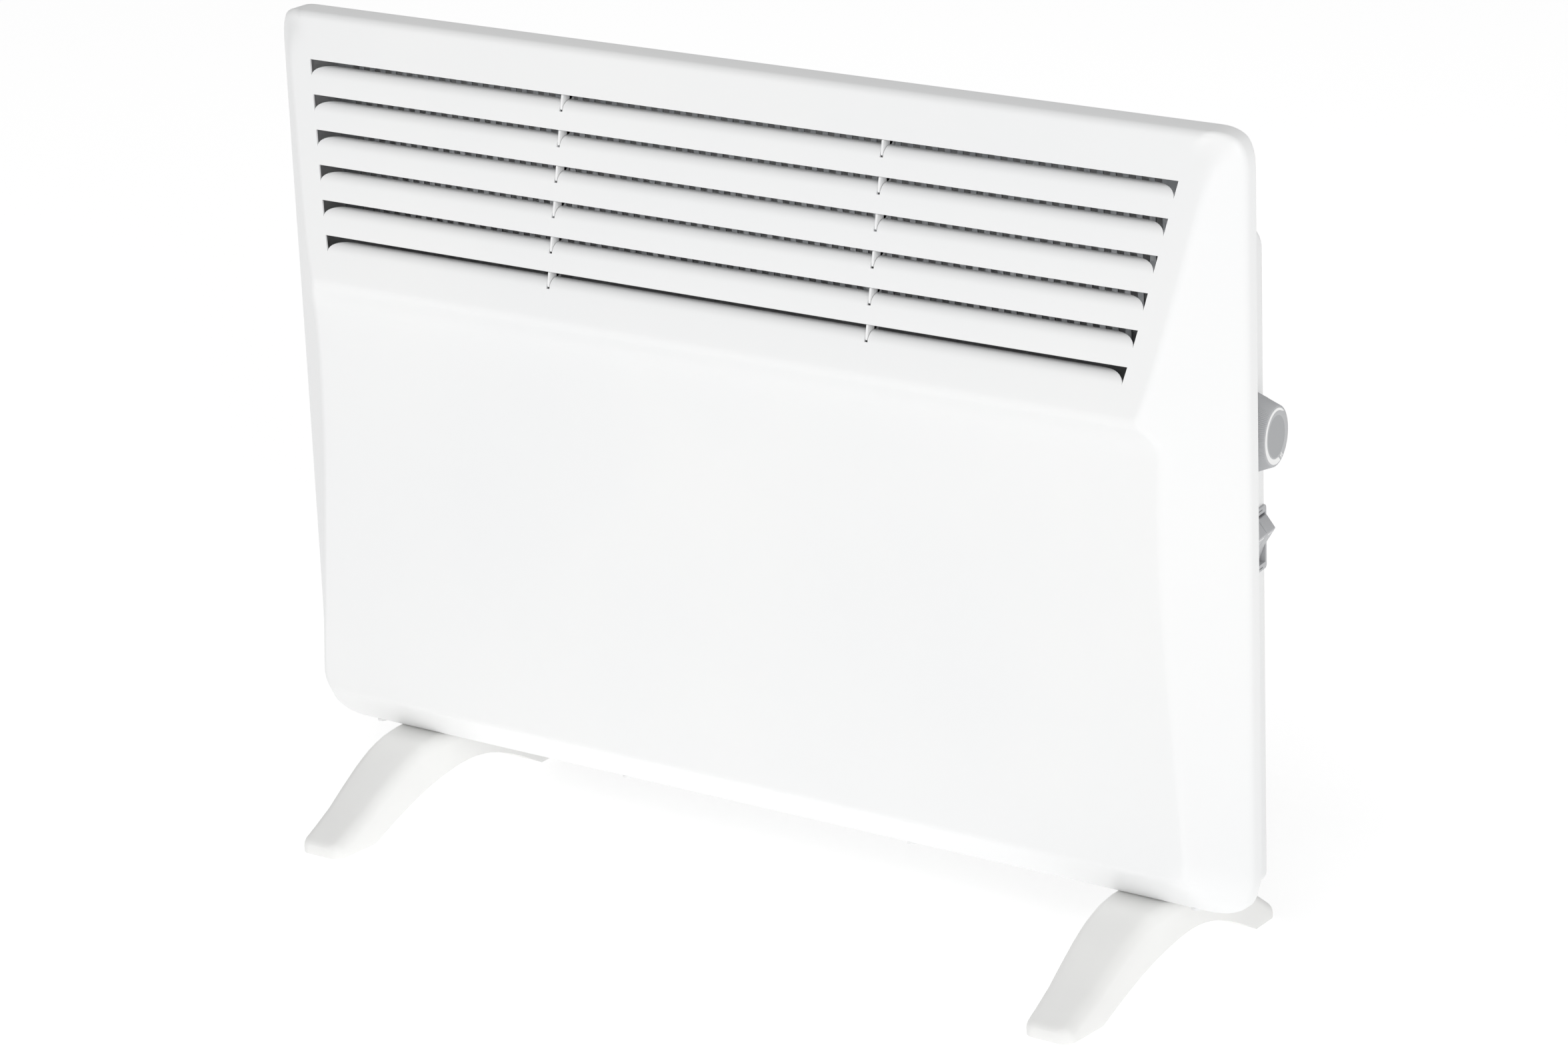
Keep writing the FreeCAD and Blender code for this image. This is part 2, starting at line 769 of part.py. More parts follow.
def knob():
    base, face = knob_wall_gap, knob_wall_gap + knob_length
    body = Part.makeLoft([toothed_outline(knob_base_radius, base), toothed_outline(knob_face_radius, face)],
                         True, True)
    radius = shaft_radius + shaft_clearance
    reach = shaft_flat_reach
    bore = rod((base - over, 0, 0), (1, 0, 0), radius, over + shaft_in_knob + knob_bore_gap)
    flat = box(base - over, base + shaft_in_knob + over, radius - shaft_flat, radius + over, -reach, reach)
    recess = rod((face - knob_recess_depth, 0, 0), (1, 0, 0), knob_recess_radius, knob_recess_depth + over)
    return placed(one_solid(body.cut(bore.cut(flat)).cut(recess)), knob_back, knob_height_z)


def switch_body():
    half_y, half_z = switch_cutout_size()
    bezel = box(0, bezel_thickness, -bezel_width / 2, bezel_width / 2, -bezel_height / 2, bezel_height / 2)
    corners = [edge for edge in bezel.Edges if edge.BoundBox.XLength > bezel_thickness / 2]
    bezel = bezel.makeFillet(bezel_round, corners)
    block = box(-switch_body_depth, bezel_thickness / 2, -half_y, half_y, -half_z, half_z)
    well_y, well_z = half_y - switch_wall, half_z - switch_wall
    well = box(-rocker_floor_depth, bezel_thickness + over, -well_y, well_y, -well_z, well_z)
    pin_hole = rod((-rocker_pivot_depth, -well_y - pin_seat, 0), (0, 1, 0), pin_radius + pin_clearance,
                   2 * (well_y + pin_seat))
    return placed(one_solid(bezel.fuse(block).cut(group([well, pin_hole]))), switch_back, switch_height_z)


def switch_blades():
    x = -switch_body_depth
    blades = []
    for y in (-switch_blade_offset, switch_blade_offset):
        for z in (-switch_blade_pitch, 0, switch_blade_pitch):
            blades.append(box(x - blade_length, x, y - blade_width / 2, y + blade_width / 2,
                              z - blade_thickness / 2, z + blade_thickness / 2))
    return placed(group(blades), switch_back, switch_height_z)


def rocker(order):
    # one rocker with its upper half out; order is -1 for the front one and 1 for the rear one
    low_y = -rocker_gap / 2 - rocker_width if order < 0 else rocker_gap / 2
    tip = rocker_crown + rocker_half_height * math.tan(math.radians(rocker_tilt))
    half = rocker_half_height
    back_half = half - rocker_back_inset
    points = [(-rocker_back, low_y, -back_half), (0, low_y, -half), (tip, low_y, -half),
              (rocker_crown, low_y, 0), (tip, low_y, half), (0, low_y, half), (-rocker_back, low_y, back_half)]
    body = prism(points, (0, rocker_width, 0))
    bore = rod((0, low_y - over, 0), (0, 1, 0), pin_radius + pin_clearance, rocker_width + 2 * over)
    body = one_solid(body.cut(bore))
    body.rotate(V(0, 0, 0), V(0, 1, 0), rocker_tilt)
    body.translate(V(-rocker_pivot_depth, 0, 0))
    return placed(Part.makeCompound([body]), switch_back, switch_height_z)


def rocker_pin():
    half_y = switch_cutout_size()[0] - switch_wall + pin_seat
    pin = rod((-rocker_pivot_depth, -half_y, 0), (0, 1, 0), pin_radius, 2 * half_y)
    return placed(pin, switch_back, switch_height_z)


def element_body():
    # extruded fin body: a round core with four ribbed wings
    length = element_right - element_left
    core = rod((element_left, element_y, element_z), (1, 0, 0), element_core_radius, length)
    wings = []
    for sign_y in (-1, 1):
        for sign_z in (-1, 1):
            tip_y, tip_z = element_y + sign_y * element_wing_y, element_z + sign_z * element_wing_z
            t = element_wing_thickness
            points = [(element_left, element_y, element_z - t / 2), (element_left, tip_y, tip_z - t / 2),
                      (element_left, tip_y, tip_z + t / 2), (element_left, element_y, element_z + t / 2)]
            wings.append(prism(points, (length, 0, 0)))
            for share in element_rib_shares:
                y = element_y + sign_y * element_wing_y * share
                z = element_z + sign_z * element_wing_z * share
                wings.append(box(element_left, element_right, y - element_rib_half, y + element_rib_half,
                                 z - element_rib_reach, z + element_rib_reach))
    bore = rod((element_left - over, element_y, element_z), (1, 0, 0), rod_radius + rod_clearance,
               length + 2 * over)
    return one_solid(core.fuse(wings).cut(bore))


def element_rod():
    start = element_left - rod_overhang
    length = element_right - element_left + 2 * rod_overhang
    sheath = rod((start, element_y, element_z), (1, 0, 0), rod_radius, length)
    stud = rod((start - stud_length, element_y, element_z), (1, 0, 0), rod_radius / 2,
               length + 2 * stud_length)
    return one_solid(sheath.fuse(stud))


def bracket_x(side):
    # face of the bracket plate that looks at the element
    return element_right + bracket_gap if side > 0 else element_left - bracket_gap


def element_bracket(side):
    x = bracket_x(side)
    outer = x + side * bracket_thickness
    z0, z1 = element_z - bracket_height / 2, element_z + bracket_height / 2
    front = element_y - bushing_flange_radius - bracket_margin
    plate = box(min(x, outer), max(x, outer), front, rear_inside_y, z0, z1)
    reach = x + side * bracket_foot
    seat = box(min(x, reach), max(x, reach), rear_inside_y - bracket_thickness, rear_inside_y, z0, z1)
    hole = rod((min(x, outer) - over, element_y, element_z), (1, 0, 0), bushing_radius + rod_clearance,
               bracket_thickness + 2 * over)
    return one_solid(plate.fuse(seat).cut(hole))


def bushing(side):
    # ceramic bush in the bracket hole, with its flange on the element side
    x = bracket_x(side)
    flange = rod((x, element_y, element_z), (-side, 0, 0), bushing_flange_radius, bushing_flange)
    neck = rod((x, element_y, element_z), (side, 0, 0), bushing_radius, bracket_thickness + bushing_tail)
    bore = rod((x - deep, element_y, element_z), (1, 0, 0), rod_radius + rod_clearance, 2 * deep)
    return one_solid(flange.fuse(neck).cut(bore))


def heat_shield():
    left = bracket_x(-1) + shield_end_gap
    right = bracket_x(1) - shield_end_gap
    plate = box(left, right, shield_y, shield_y + shield_thickness, shield_bottom, shield_top)
    low = box(left, right, shield_y, rear_inside_y, shield_bottom, shield_bottom + shield_thickness)
    high = box(left, right, shield_y, rear_inside_y, shield_top - shield_thickness, shield_top)
    return one_solid(plate.fuse([low, high]))


def thermal_cutout():
    disc = rod((cutout_x, shield_y, cutout_z), (0, -1, 0), cutout_radius, cutout_depth)
    ears = box(cutout_x - cutout_ear_reach, cutout_x + cutout_ear_reach, shield_y - cutout_ear_thickness,
               shield_y, cutout_z - cutout_ear_half, cutout_z + cutout_ear_half)
    back = shield_y - cutout_depth
    blades = [box(x - blade_thickness / 2, x + blade_thickness / 2, back - cutout_blade_length, back,
                  cutout_z - cutout_blade_half, cutout_z + cutout_blade_half)
              for x in (cutout_x - cutout_blade_offset, cutout_x + cutout_blade_offset)]
    return one_solid(disc.fuse([ears] + blades))


def partition():
    x0, x1 = partition_x, partition_x + partition_thickness
    bottom = housing_bottom + housing_wall + partition_bottom_gap
    top = bottom + partition_height
    front = lower_face_y + sheet + partition_front_gap
    waist_y = rim_y + tray_lap
    plate = box(x0, x1, waist_y, rear_inside_y, bottom, top - housing_depth)
    nose_low = panel_bottom + lower_crease_height + partition_nose_rise
    nose = box(x0, x1, front, waist_y, nose_low, top - housing_depth)
    seat = box(x0 - partition_seat_reach, x1, rear_inside_y - housing_wall, rear_inside_y,
               bottom + partition_seat_rise, top - housing_depth)
    hole = rod((x0 - over, element_y, element_z), (1, 0, 0), rod_window_radius, partition_thickness + 2 * over)
    keep_half = bracket_height / 2 + partition_keep_gap
    keep = box(x0 - partition_seat_reach - over, x0, rear_inside_y - partition_keep_gap, rear_inside_y + over,
               element_z - keep_half, element_z + keep_half)
    return one_solid(plate.fuse([nose, seat]).cut(group([hole, keep])))


def tilt_switch():
    dx, dy, dz = tilt_size
    x = partition_x + partition_thickness
    front = rim_y + tilt_front
    body = box(x, x + dx, front, front + dy, tilt_z, tilt_z + dz)
    blades = [box(x + dx, x + dx + tilt_blade_length, y, y + blade_thickness, tilt_z + tilt_blade_low,
                  tilt_z + tilt_blade_high)
              for y in (rim_y + tilt_blade_front, rim_y + tilt_blade_front + tilt_blade_pitch)]
    return one_solid(body.fuse(blades))


def terminal_block():
    dx, dy, dz = terminal_size
    x = partition_x + partition_thickness + terminal_gap
    y = rear_inside_y - dy
    body = box(x, x + dx, y, rear_inside_y, terminal_z, terminal_z + dz)
    wells = []
    for i in range(terminal_ways):
        centre = x + dx * (i + 0.5) / terminal_ways
        wells.append(box(centre - terminal_well_half, centre + terminal_well_half, y - over,
                         y + terminal_well_depth, terminal_z + terminal_well_margin,
                         terminal_z + dz - terminal_well_margin))
    return one_solid(body.cut(group(wells)))


def cable_gland():
    flange = rod((gland_x, housing_rear_y, gland_z), (0, 1, 0), gland_flange_radius, gland_flange)
    neck = rod((gland_x, rear_inside_y - gland_inner, gland_z), (0, 1, 0), gland_neck,
               gland_inner + housing_wall + gland_hole_gap)
    collar = rod((gland_x, rear_inside_y - gland_inner, gland_z), (0, 1, 0), gland_neck + gland_collar,
                 gland_inner)
    bore = rod((gland_x, rear_inside_y - gland_inner - over, gland_z), (0, 1, 0), gland_bore, deep)
    return one_solid(flange.fuse([neck, collar]).cut(bore))


nodes = {
    "front_panel": front_panel(),
    "louvre_rib_left": louvre_rib(-rib_offset),
    "louvre_rib_right": louvre_rib(rib_offset),
    "guard_grille": guard_grille(),
    "rear_housing": rear_housing(),
    "foot_left": foot(-1),
    "foot_right": foot(1),
    "foot_screws_left": foot_screws(-1),
    "foot_screws_right": foot_screws(1),
    "case_screws": case_screws(),
    "thermostat_body": thermostat_body(),
    "thermostat_shaft": thermostat_shaft(),
    "knob": knob(),
    "switch_body": switch_body(),
    "switch_blades": switch_blades(),
    "rocker_front": rocker(-1),
    "rocker_rear": rocker(1),
    "rocker_pin": rocker_pin(),
    "element_body": element_body(),
    "element_rod": element_rod(),
    "element_bracket_left": element_bracket(-1),
    "element_bracket_right": element_bracket(1),
    "bushing_left": bushing(-1),
    "bushing_right": bushing(1),
    "heat_shield": heat_shield(),
    "thermal_cutout": thermal_cutout(),
    "partition": partition(),
    "tilt_switch": tilt_switch(),
    "terminal_block": terminal_block(),
    "cable_gland": cable_gland(),
}

os.makedirs("parts", exist_ok=True)
for name, shape in nodes.items():
    bounds = shape.BoundBox
    print(name, len(shape.Solids), shape.isValid(), round(shape.Volume), bounds)
    shape.exportStep(f"parts/{name}.step")
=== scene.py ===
import bmesh
import bpy
import json
import math
from mathutils import Matrix, Vector


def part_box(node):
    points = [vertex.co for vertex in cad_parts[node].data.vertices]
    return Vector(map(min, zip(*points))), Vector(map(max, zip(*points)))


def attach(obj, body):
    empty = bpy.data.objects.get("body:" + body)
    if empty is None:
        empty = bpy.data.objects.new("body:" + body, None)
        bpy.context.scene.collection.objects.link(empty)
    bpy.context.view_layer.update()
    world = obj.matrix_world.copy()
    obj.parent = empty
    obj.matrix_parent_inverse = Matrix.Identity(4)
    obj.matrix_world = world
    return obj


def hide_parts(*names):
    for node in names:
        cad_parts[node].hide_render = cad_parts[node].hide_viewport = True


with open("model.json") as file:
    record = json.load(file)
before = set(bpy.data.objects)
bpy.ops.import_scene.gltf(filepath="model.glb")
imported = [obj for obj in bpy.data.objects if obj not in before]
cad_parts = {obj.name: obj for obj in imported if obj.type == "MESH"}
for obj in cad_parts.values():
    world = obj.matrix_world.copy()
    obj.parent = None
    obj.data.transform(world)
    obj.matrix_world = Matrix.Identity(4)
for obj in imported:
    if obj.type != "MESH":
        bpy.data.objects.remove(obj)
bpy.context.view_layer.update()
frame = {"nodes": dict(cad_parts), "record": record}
record = frame["record"]
cadNodes = frame["nodes"]
bpy.ops.object.select_all(action="DESELECT")
print("frame loaded")


# sizes in this file are in millimetres, apart from those of the studio and the camera, and meshes are in metres

def mm(value):
    return value / 1000.0


def clamp(value, low=0.0, high=1.0):
    return max(low, min(high, value))


def mix(a, b, share):
    return a + (b - a) * share


def softMin(a, b, width):
    # the smaller of two heights, rounded where they meet
    share = clamp(0.5 + 0.5 * (b - a) / width)
    return mix(b, a, share) - width * share * (1 - share)


def softMax(a, b, width):
    return -softMin(-a, -b, width)


def along(points, where):
    # straight interpolation through (place, value) pairs
    if where <= points[0][0]:
        return points[0][1]
    for (a, va), (b, vb) in zip(points, points[1:]):
        if where <= b:
            return mix(va, vb, (where - a) / (b - a))
    return points[-1][1]


def deselect():
    if bpy.context.mode != "OBJECT":
        bpy.ops.object.mode_set(mode="OBJECT")
    bpy.ops.object.select_all(action="DESELECT")


def activate(piece):
    deselect()
    piece.select_set(True)
    bpy.context.view_layer.objects.active = piece


def applyPlace(piece):
    activate(piece)
    bpy.ops.object.transform_apply(location=True, rotation=True, scale=True)


def addBox(name, low, high):
    deselect()
    centre = [(a + b) / 2000 for a, b in zip(low, high)]
    bpy.ops.mesh.primitive_cube_add(size=1, location=centre)
    piece = bpy.context.object
    piece.name = piece.data.name = name
    piece.scale = [(b - a) / 1000 for a, b in zip(low, high)]
    applyPlace(piece)
    return piece


def addCylinder(name, radius, start, end, sides=64, topRadius=None):
    # a cylinder or cone along X, from x = start to x = end
    deselect()
    topRadius = radius if topRadius is None else topRadius
    bpy.ops.mesh.primitive_cone_add(vertices=sides, radius1=mm(radius), radius2=mm(topRadius),
                                    depth=mm(end - start), rotation=(0, math.pi / 2, 0),
                                    location=(mm(start + end) / 2, 0, 0))
    piece = bpy.context.object
    piece.name = piece.data.name = name
    applyPlace(piece)
    return piece


def edit(piece, mode="VERT"):
    activate(piece)
    bpy.ops.object.mode_set(mode="EDIT")
    bpy.ops.mesh.select_mode(type=mode)


def pick(kind, test):
    # selects verts, edges or faces of the piece in edit mode, by a test in millimetres
    bpy.ops.mesh.select_all(action="DESELECT")
    mesh = bmesh.from_edit_mesh(bpy.context.object.data)
    for item in getattr(mesh, kind):
        if kind == "verts":
            chosen = test(item.co * 1000)
        elif kind == "edges":
            chosen = test(item.verts[0].co * 1000, item.verts[1].co * 1000)
        else:
            chosen = test(item.calc_center_median() * 1000, item.normal)
        if chosen:
            item.select_set(True)
    bmesh.update_edit_mesh(bpy.context.object.data)


def move(x=0.0, y=0.0, z=0.0):
    bpy.ops.transform.translate(value=(mm(x), mm(y), mm(z)))


def resize(x=1.0, y=1.0, z=1.0, centre=(0, 0, 0)):
    bpy.ops.transform.resize(value=(x, y, z), center_override=[mm(c) for c in centre])


def bevelPicked(width, segments):
    bpy.ops.mesh.bevel(offset=mm(width), segments=segments, affect="EDGES", profile=0.5)


def sliceAcross(axis, places):
    # cuts the whole piece by planes across one axis
    normal = {"x": (1, 0, 0), "y": (0, 1, 0), "z": (0, 0, 1)}[axis]
    for place in places:
        bpy.ops.mesh.select_all(action="SELECT")
        bpy.ops.mesh.bisect(plane_co=[mm(place) * n for n in normal], plane_no=normal)


def finishModifier(piece, modifier):
    activate(piece)
    bpy.ops.object.modifier_apply(modifier=modifier.name)


def soften(piece, width, segments=3, angle=30):
    modifier = piece.modifiers.new("softEdges", "BEVEL")
    modifier.width = mm(width)
    modifier.segments = segments
    modifier.limit_method = "ANGLE"
    modifier.angle_limit = math.radians(angle)
    modifier.miter_outer = "MITER_ARC"
    finishModifier(piece, modifier)


def thicken(piece, thickness):
    modifier = piece.modifiers.new("sheetThickness", "SOLIDIFY")
    modifier.thickness = mm(thickness)
    modifier.offset = -1
    modifier.use_even_offset = True
    finishModifier(piece, modifier)


def cutWith(piece, cutter):
    modifier = piece.modifiers.new("cut", "BOOLEAN")
    modifier.operation = "DIFFERENCE"
    modifier.solver = "EXACT"
    modifier.object = cutter
    finishModifier(piece, modifier)
    bpy.data.objects.remove(cutter)


def smooth(piece, angle=35):
    activate(piece)
    bpy.ops.object.shade_smooth_by_angle(angle=math.radians(angle))


def joinPieces(name, pieces):
    deselect()
    for piece in pieces:
        piece.select_set(True)
    bpy.context.view_layer.objects.active = pieces[0]
    bpy.ops.object.join()
    joined = bpy.context.object
    joined.name = joined.data.name = name
    return joined


def copyPiece(piece, name, shift=(0, 0, 0)):
    # a copy with its own mesh, moved by the shift
    twin = piece.copy()
    twin.data = piece.data.copy()
    twin.name = twin.data.name = name
    bpy.context.collection.objects.link(twin)
    twin.location = [mm(step) for step in shift]
    applyPlace(twin)
    return twin


def centreX(node):
    low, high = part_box(node)
    return (low[0] + high[0]) / 2 * 1000


def jointNamed(name):
    return next(j for j in record["behaviour"]["joints"] if j["name"] == name)


def placeOnWall(piece, origin, turn):
    # moves a piece modelled along +X onto the drafted side wall
    piece.location = origin
    piece.rotation_euler = (0, 0, turn)
    applyPlace(piece)


def toLinear(hexColour):
    channels = [int(hexColour[i:i + 2], 16) / 255 for i in (1, 3, 5)]
    linear = [c / 12.92 if c <= 0.04045 else ((c + 0.055) / 1.055) ** 2.4 for c in channels]
    return (*linear, 1.0)


def addNode(tree, kind, settings=None, links=None):
    # keys are a property's name, or a socket's name or number; sockets 6 and 7 are a Mix node's two colours
    node = tree.nodes.new(kind)
    for name, value in (settings or {}).items():
        if isinstance(name, int) or name in node.inputs:
            node.inputs[name].default_value = value
        else:
            setattr(node, name, value)
    for name, source in (links or {}).items():
        tree.links.new(source, node.inputs[name])
    return node


def newMaterial(name, shader):
    material = bpy.data.materials.new(name)
    material.use_nodes = True
    tree = material.node_tree
    tree.nodes.clear()
    body = addNode(tree, "ShaderNodeBsdfPrincipled", shader)
    addNode(tree, "ShaderNodeOutputMaterial", links={"Surface": body.outputs["BSDF"]})
    place = addNode(tree, "ShaderNodeTexCoord")
    return material, tree, body, place.outputs["Object"]


def perMetre(sizeMm):
    # noise scale that gives features of about this size
    return 1000.0 / sizeMm


powderCoat = {"colour": "#F3F3F2", "tint": "#ECEDEE", "cloudMm": 160, "roughness": (0.33, 0.42), "peelMm": 1.6,
              "peelHeight": 0.02, "peelStrength": 0.25}


def powderCoatedSteel():
    # baked powder paint: white, satin, with a fine orange peel and faint cloudiness
    v = powderCoat
    material, tree, body, place = newMaterial("powder_coated_steel_white", {"IOR": 1.5})
    cloud = addNode(tree, "ShaderNodeTexNoise", {"Scale": perMetre(v["cloudMm"]), "Detail": 3.0}, {"Vector": place})
    tone = addNode(tree, "ShaderNodeMix", {"data_type": "RGBA", 6: toLinear(v["colour"]), 7: toLinear(v["tint"])},
                   {"Factor": cloud.outputs["Fac"]})
    tree.links.new(tone.outputs[2], body.inputs["Base Color"])
    fine = addNode(tree, "ShaderNodeTexNoise", {"Scale": perMetre(v["peelMm"]), "Detail": 2.0}, {"Vector": place})
    gloss = addNode(tree, "ShaderNodeMapRange", {"To Min": v["roughness"][0], "To Max": v["roughness"][1]},
                    {"Value": fine.outputs["Fac"]})
    tree.links.new(gloss.outputs["Result"], body.inputs["Roughness"])
    peel = addNode(tree, "ShaderNodeBump", {"Strength": v["peelStrength"], "Distance": mm(v["peelHeight"])},
                   {"Height": fine.outputs["Fac"]})
    tree.links.new(peel.outputs["Normal"], body.inputs["Normal"])
    return material


moulding = {"flowMm": 45, "flowTwist": 0.6, "bumpStrength": 0.3, "glossDown": 0.05, "glossUp": 0.07}


def mouldedPlastic(name, colour, shade, roughness, grainMm, grainHeight):
    # injection moulded plastic with a spark-eroded grain and slight flow marks
    v = moulding
    material, tree, body, place = newMaterial(name, {"IOR": 1.49})
    flow = addNode(tree, "ShaderNodeTexNoise",
                   {"Scale": perMetre(v["flowMm"]), "Detail": 2.0, "Distortion": v["flowTwist"]}, {"Vector": place})
    tone = addNode(tree, "ShaderNodeMix", {"data_type": "RGBA", 6: toLinear(colour), 7: toLinear(shade)},
                   {"Factor": flow.outputs["Fac"]})
    tree.links.new(tone.outputs[2], body.inputs["Base Color"])
    grain = addNode(tree, "ShaderNodeTexNoise", {"Scale": perMetre(grainMm), "Detail": 3.0, "Roughness": 0.6},
                    {"Vector": place})
    gloss = addNode(tree, "ShaderNodeMapRange",
                    {"To Min": roughness - v["glossDown"], "To Max": roughness + v["glossUp"]},
                    {"Value": grain.outputs["Fac"]})
    tree.links.new(gloss.outputs["Result"], body.inputs["Roughness"])
    bump = addNode(tree, "ShaderNodeBump", {"Strength": v["bumpStrength"], "Distance": mm(grainHeight)},
                   {"Height": grain.outputs["Fac"]})
    tree.links.new(bump.outputs["Normal"], body.inputs["Normal"])
    return material


def zincSheet(name, light, dark, roughness, spangleMm):
    # hot dip zinc: crystals of a few millimetres with slightly different tones
    material, tree, body, place = newMaterial(name, {"Metallic": 1.0})
    spangle = addNode(tree, "ShaderNodeTexVoronoi", {"Scale": perMetre(spangleMm)}, {"Vector": place})
    grey = addNode(tree, "ShaderNodeRGBToBW", links={"Color": spangle.outputs["Color"]})
    tone = addNode(tree, "ShaderNodeMix", {"data_type": "RGBA", 6: toLinear(light), 7: toLinear(dark)},
                   {"Factor": grey.outputs["Val"]})
    tree.links.new(tone.outputs[2], body.inputs["Base Color"])
    gloss = addNode(tree, "ShaderNodeMapRange", {"To Min": roughness - 0.08, "To Max": roughness + 0.08},
                    {"Value": grey.outputs["Val"]})
    tree.links.new(gloss.outputs["Result"], body.inputs["Roughness"])
    return material


def drawnMetal(name, light, dark, roughness, lineMm):
    # drawn, extruded or turned metal: fine lines along its length
    material, tree, body, place = newMaterial(name, {"Metallic": 1.0})
    stretch = addNode(tree, "ShaderNodeMapping", {"Scale": (0.05, 1.0, 1.0)}, {"Vector": place})
    lines = addNode(tree, "ShaderNodeTexNoise", {"Scale": perMetre(lineMm), "Detail": 4.0},
                    {"Vector": stretch.outputs["Vector"]})
    tone = addNode(tree, "ShaderNodeMix", {"data_type": "RGBA", 6: toLinear(light), 7: toLinear(dark)},
                   {"Factor": lines.outputs["Fac"]})
    tree.links.new(tone.outputs[2], body.inputs["Base Color"])
    gloss = addNode(tree, "ShaderNodeMapRange", {"To Min": roughness - 0.06, "To Max": roughness + 0.1},
                    {"Value": lines.outputs["Fac"]})
    tree.links.new(gloss.outputs["Result"], body.inputs["Roughness"])
    return material


finishes = {
    "coated_steel": powderCoatedSteel(),
    "foot_plastic": mouldedPlastic("polypropylene_moulded_white", "#F1F1EF", "#E9E9E8", 0.42, 0.9, 0.02),
    "control_plastic": mouldedPlastic("abs_moulded_grey", "#BCBDBF", "#B4B5B7", 0.48, 0.5, 0.02),
    "dark_plastic": mouldedPlastic("nylon_moulded_black", "#1C1C1E", "#242427", 0.5, 0.6, 0.02),
    "gland_rubber": mouldedPlastic("rubber_moulded_black", "#161616", "#202020", 0.7, 0.8, 0.03),
    "bush_ceramic": mouldedPlastic("steatite_ceramic", "#E9E4D6", "#DDD6C4", 0.6, 0.4, 0.03),
    "zinc_steel": zincSheet("galvanised_steel_sheet", "#E3E5E7", "#C6C9CC", 0.5, 5.0),
    "screw_steel": drawnMetal("zinc_plated_steel_dark", "#55565A", "#3C3D40", 0.38, 0.3),
    "contact_brass": drawnMetal("brass_strip", "#C9A45C", "#B08A45", 0.35, 0.3),
    "element_aluminium": drawnMetal("extruded_aluminium", "#C4C6C8", "#A9ABAE", 0.4, 0.4),
    "element_steel": drawnMetal("stainless_sheath", "#8B8680", "#6F6A64", 0.35, 0.3),
}
printWhite = mouldedPlastic("pad_print_white", "#F6F6F5", "#F0F0F0", 0.4, 0.3, 0.005)
insertGrey = mouldedPlastic("abs_moulded_grey_insert", "#A6A7A9", "#9EA0A2", 0.4, 0.5, 0.015)
printDark = mouldedPlastic("moulded_mark_grey", "#77787A", "#6F7072", 0.5, 0.3, 0.005)
print("materials made")


def dress(piece, slotName, body, replaces=(), material=None):
    # gives a finished piece its material, its body and the nodes it stands for
    piece.data.materials.clear()
    piece.data.materials.append(material or finishes[slotName])
    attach(piece, body)
    if replaces:
        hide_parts(*replaces)


def dressPair(piece, name, nodes, slotName):
    # the piece is copied to the other side of the case, then both are dressed
    twin = copyPiece(piece, name, (centreX(nodes[1]) - centreX(nodes[0]), 0, 0))
    for item, node in zip((piece, twin), nodes):
        dress(item, slotName, "case", [node])


slotOfNode = {part["node"]: part["material_slot"] for part in record["subparts"]}
for name, piece in cadNodes.items():
    finish = finishes[slotOfNode[name]]
    for materialSlot in piece.material_slots:
        materialSlot.material = finish

# front panel: one pressed sheet with a leaning louvre field, a step and an upright lower face
panelLow, panelHigh = (Vector(corner) * 1000 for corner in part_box("front_panel"))
panel = {
    "bottom": panelLow.z, "height": 400.0, "half": panelHigh.x, "rim": panelHigh.y,
    "sheet": 1.0, "skirt": 7.5, "fold": 1.8, "topDepth": 16.3, "topRound": 3.4,
    "lean": 11.5, "louvreBottom": 260.0, "stepSlope": 0.8, "stepRound": 4.0, "stepHollow": 5.0,
    "lowerDepth": 35.2, "bottomSlope": 1.13, "creaseRound": 2.4,
    # how softly a corner is rounded: at the outline, then at this distance in
    "topCorner": (18.0, 10.0), "bottomCorner": (26.0, 12.0), "cornerReach": 25.0,
    # side chamfer: how steeply it rises, at heights above the lower edge
    "sideSlopes": [(30, 1.27), (60, 1.13), (100, 1.0), (140, 0.893), (175, 0.835), (205, 0.815), (235, 0.82),
                   (252, 0.87), (267, 0.945), (300, 0.97), (400, 0.93)],
    "slotCount": 6, "firstSlot": 376.0, "slotPitch": 17.86, "slotHeight": 8.6, "slotMargin": 15.0,
    "stripMiddle": 4.6,
    "scoopRadius": 6.5, "scoopAngle": 82.0, "scoopSteps": 9, "scoopEnd": 13.0, "scoopBlend": 40.0,
    "ribOffset": 99.2, "slitHalf": 1.0,
    # heights of the sheet's rows above the lower edge: close together where it bends
    "lowRows": [0, 0.2, 0.7, 1.4, 2.4, 4, 6, 8.5, 11.5, 14.5, 17, 19, 20.8, 22, 23, 23.8, 24.6, 25.4, 26.4, 28, 30.5,
                34, 40],
    "faceRows": (52, 12.4, 16),
    "stepRows": [241, 243.5, 245.5, 247.2, 248.8, 250.5, 252.5, 254.5, 256.2, 257.7, 259, 260.3, 261.8, 263.5, 266,
                 270],
    "highRows": [382, 387, 390.5, 393, 394.5, 395.6, 396.6, 397.5, 398.3, 399, 399.5, 399.85, 400],
    # columns near the outline, and on both sides of the crease
    "edgeColumns": (0, 0.2, 0.7, 1.4, 2.4),
    "creaseColumns": (-6.5, -4.5, -3, -2.1, -1.3, -0.6, 0, 0.6, 1.3, 2.1, 3, 4.5, 6.5, 9, 12),
}


def plateauDepth(h):
    # how far the louvre field, the step and the lower face stand in front of the rim
    p = panel
    field = p["topDepth"] + (p["height"] - h) * math.tan(math.radians(p["lean"]))
    edge = p["topDepth"] + (p["height"] - p["louvreBottom"]) * math.tan(math.radians(p["lean"]))
    step = edge - (p["louvreBottom"] - h) * p["stepSlope"]
    return softMin(field, softMax(p["lowerDepth"], step, p["stepHollow"]), p["stepRound"])


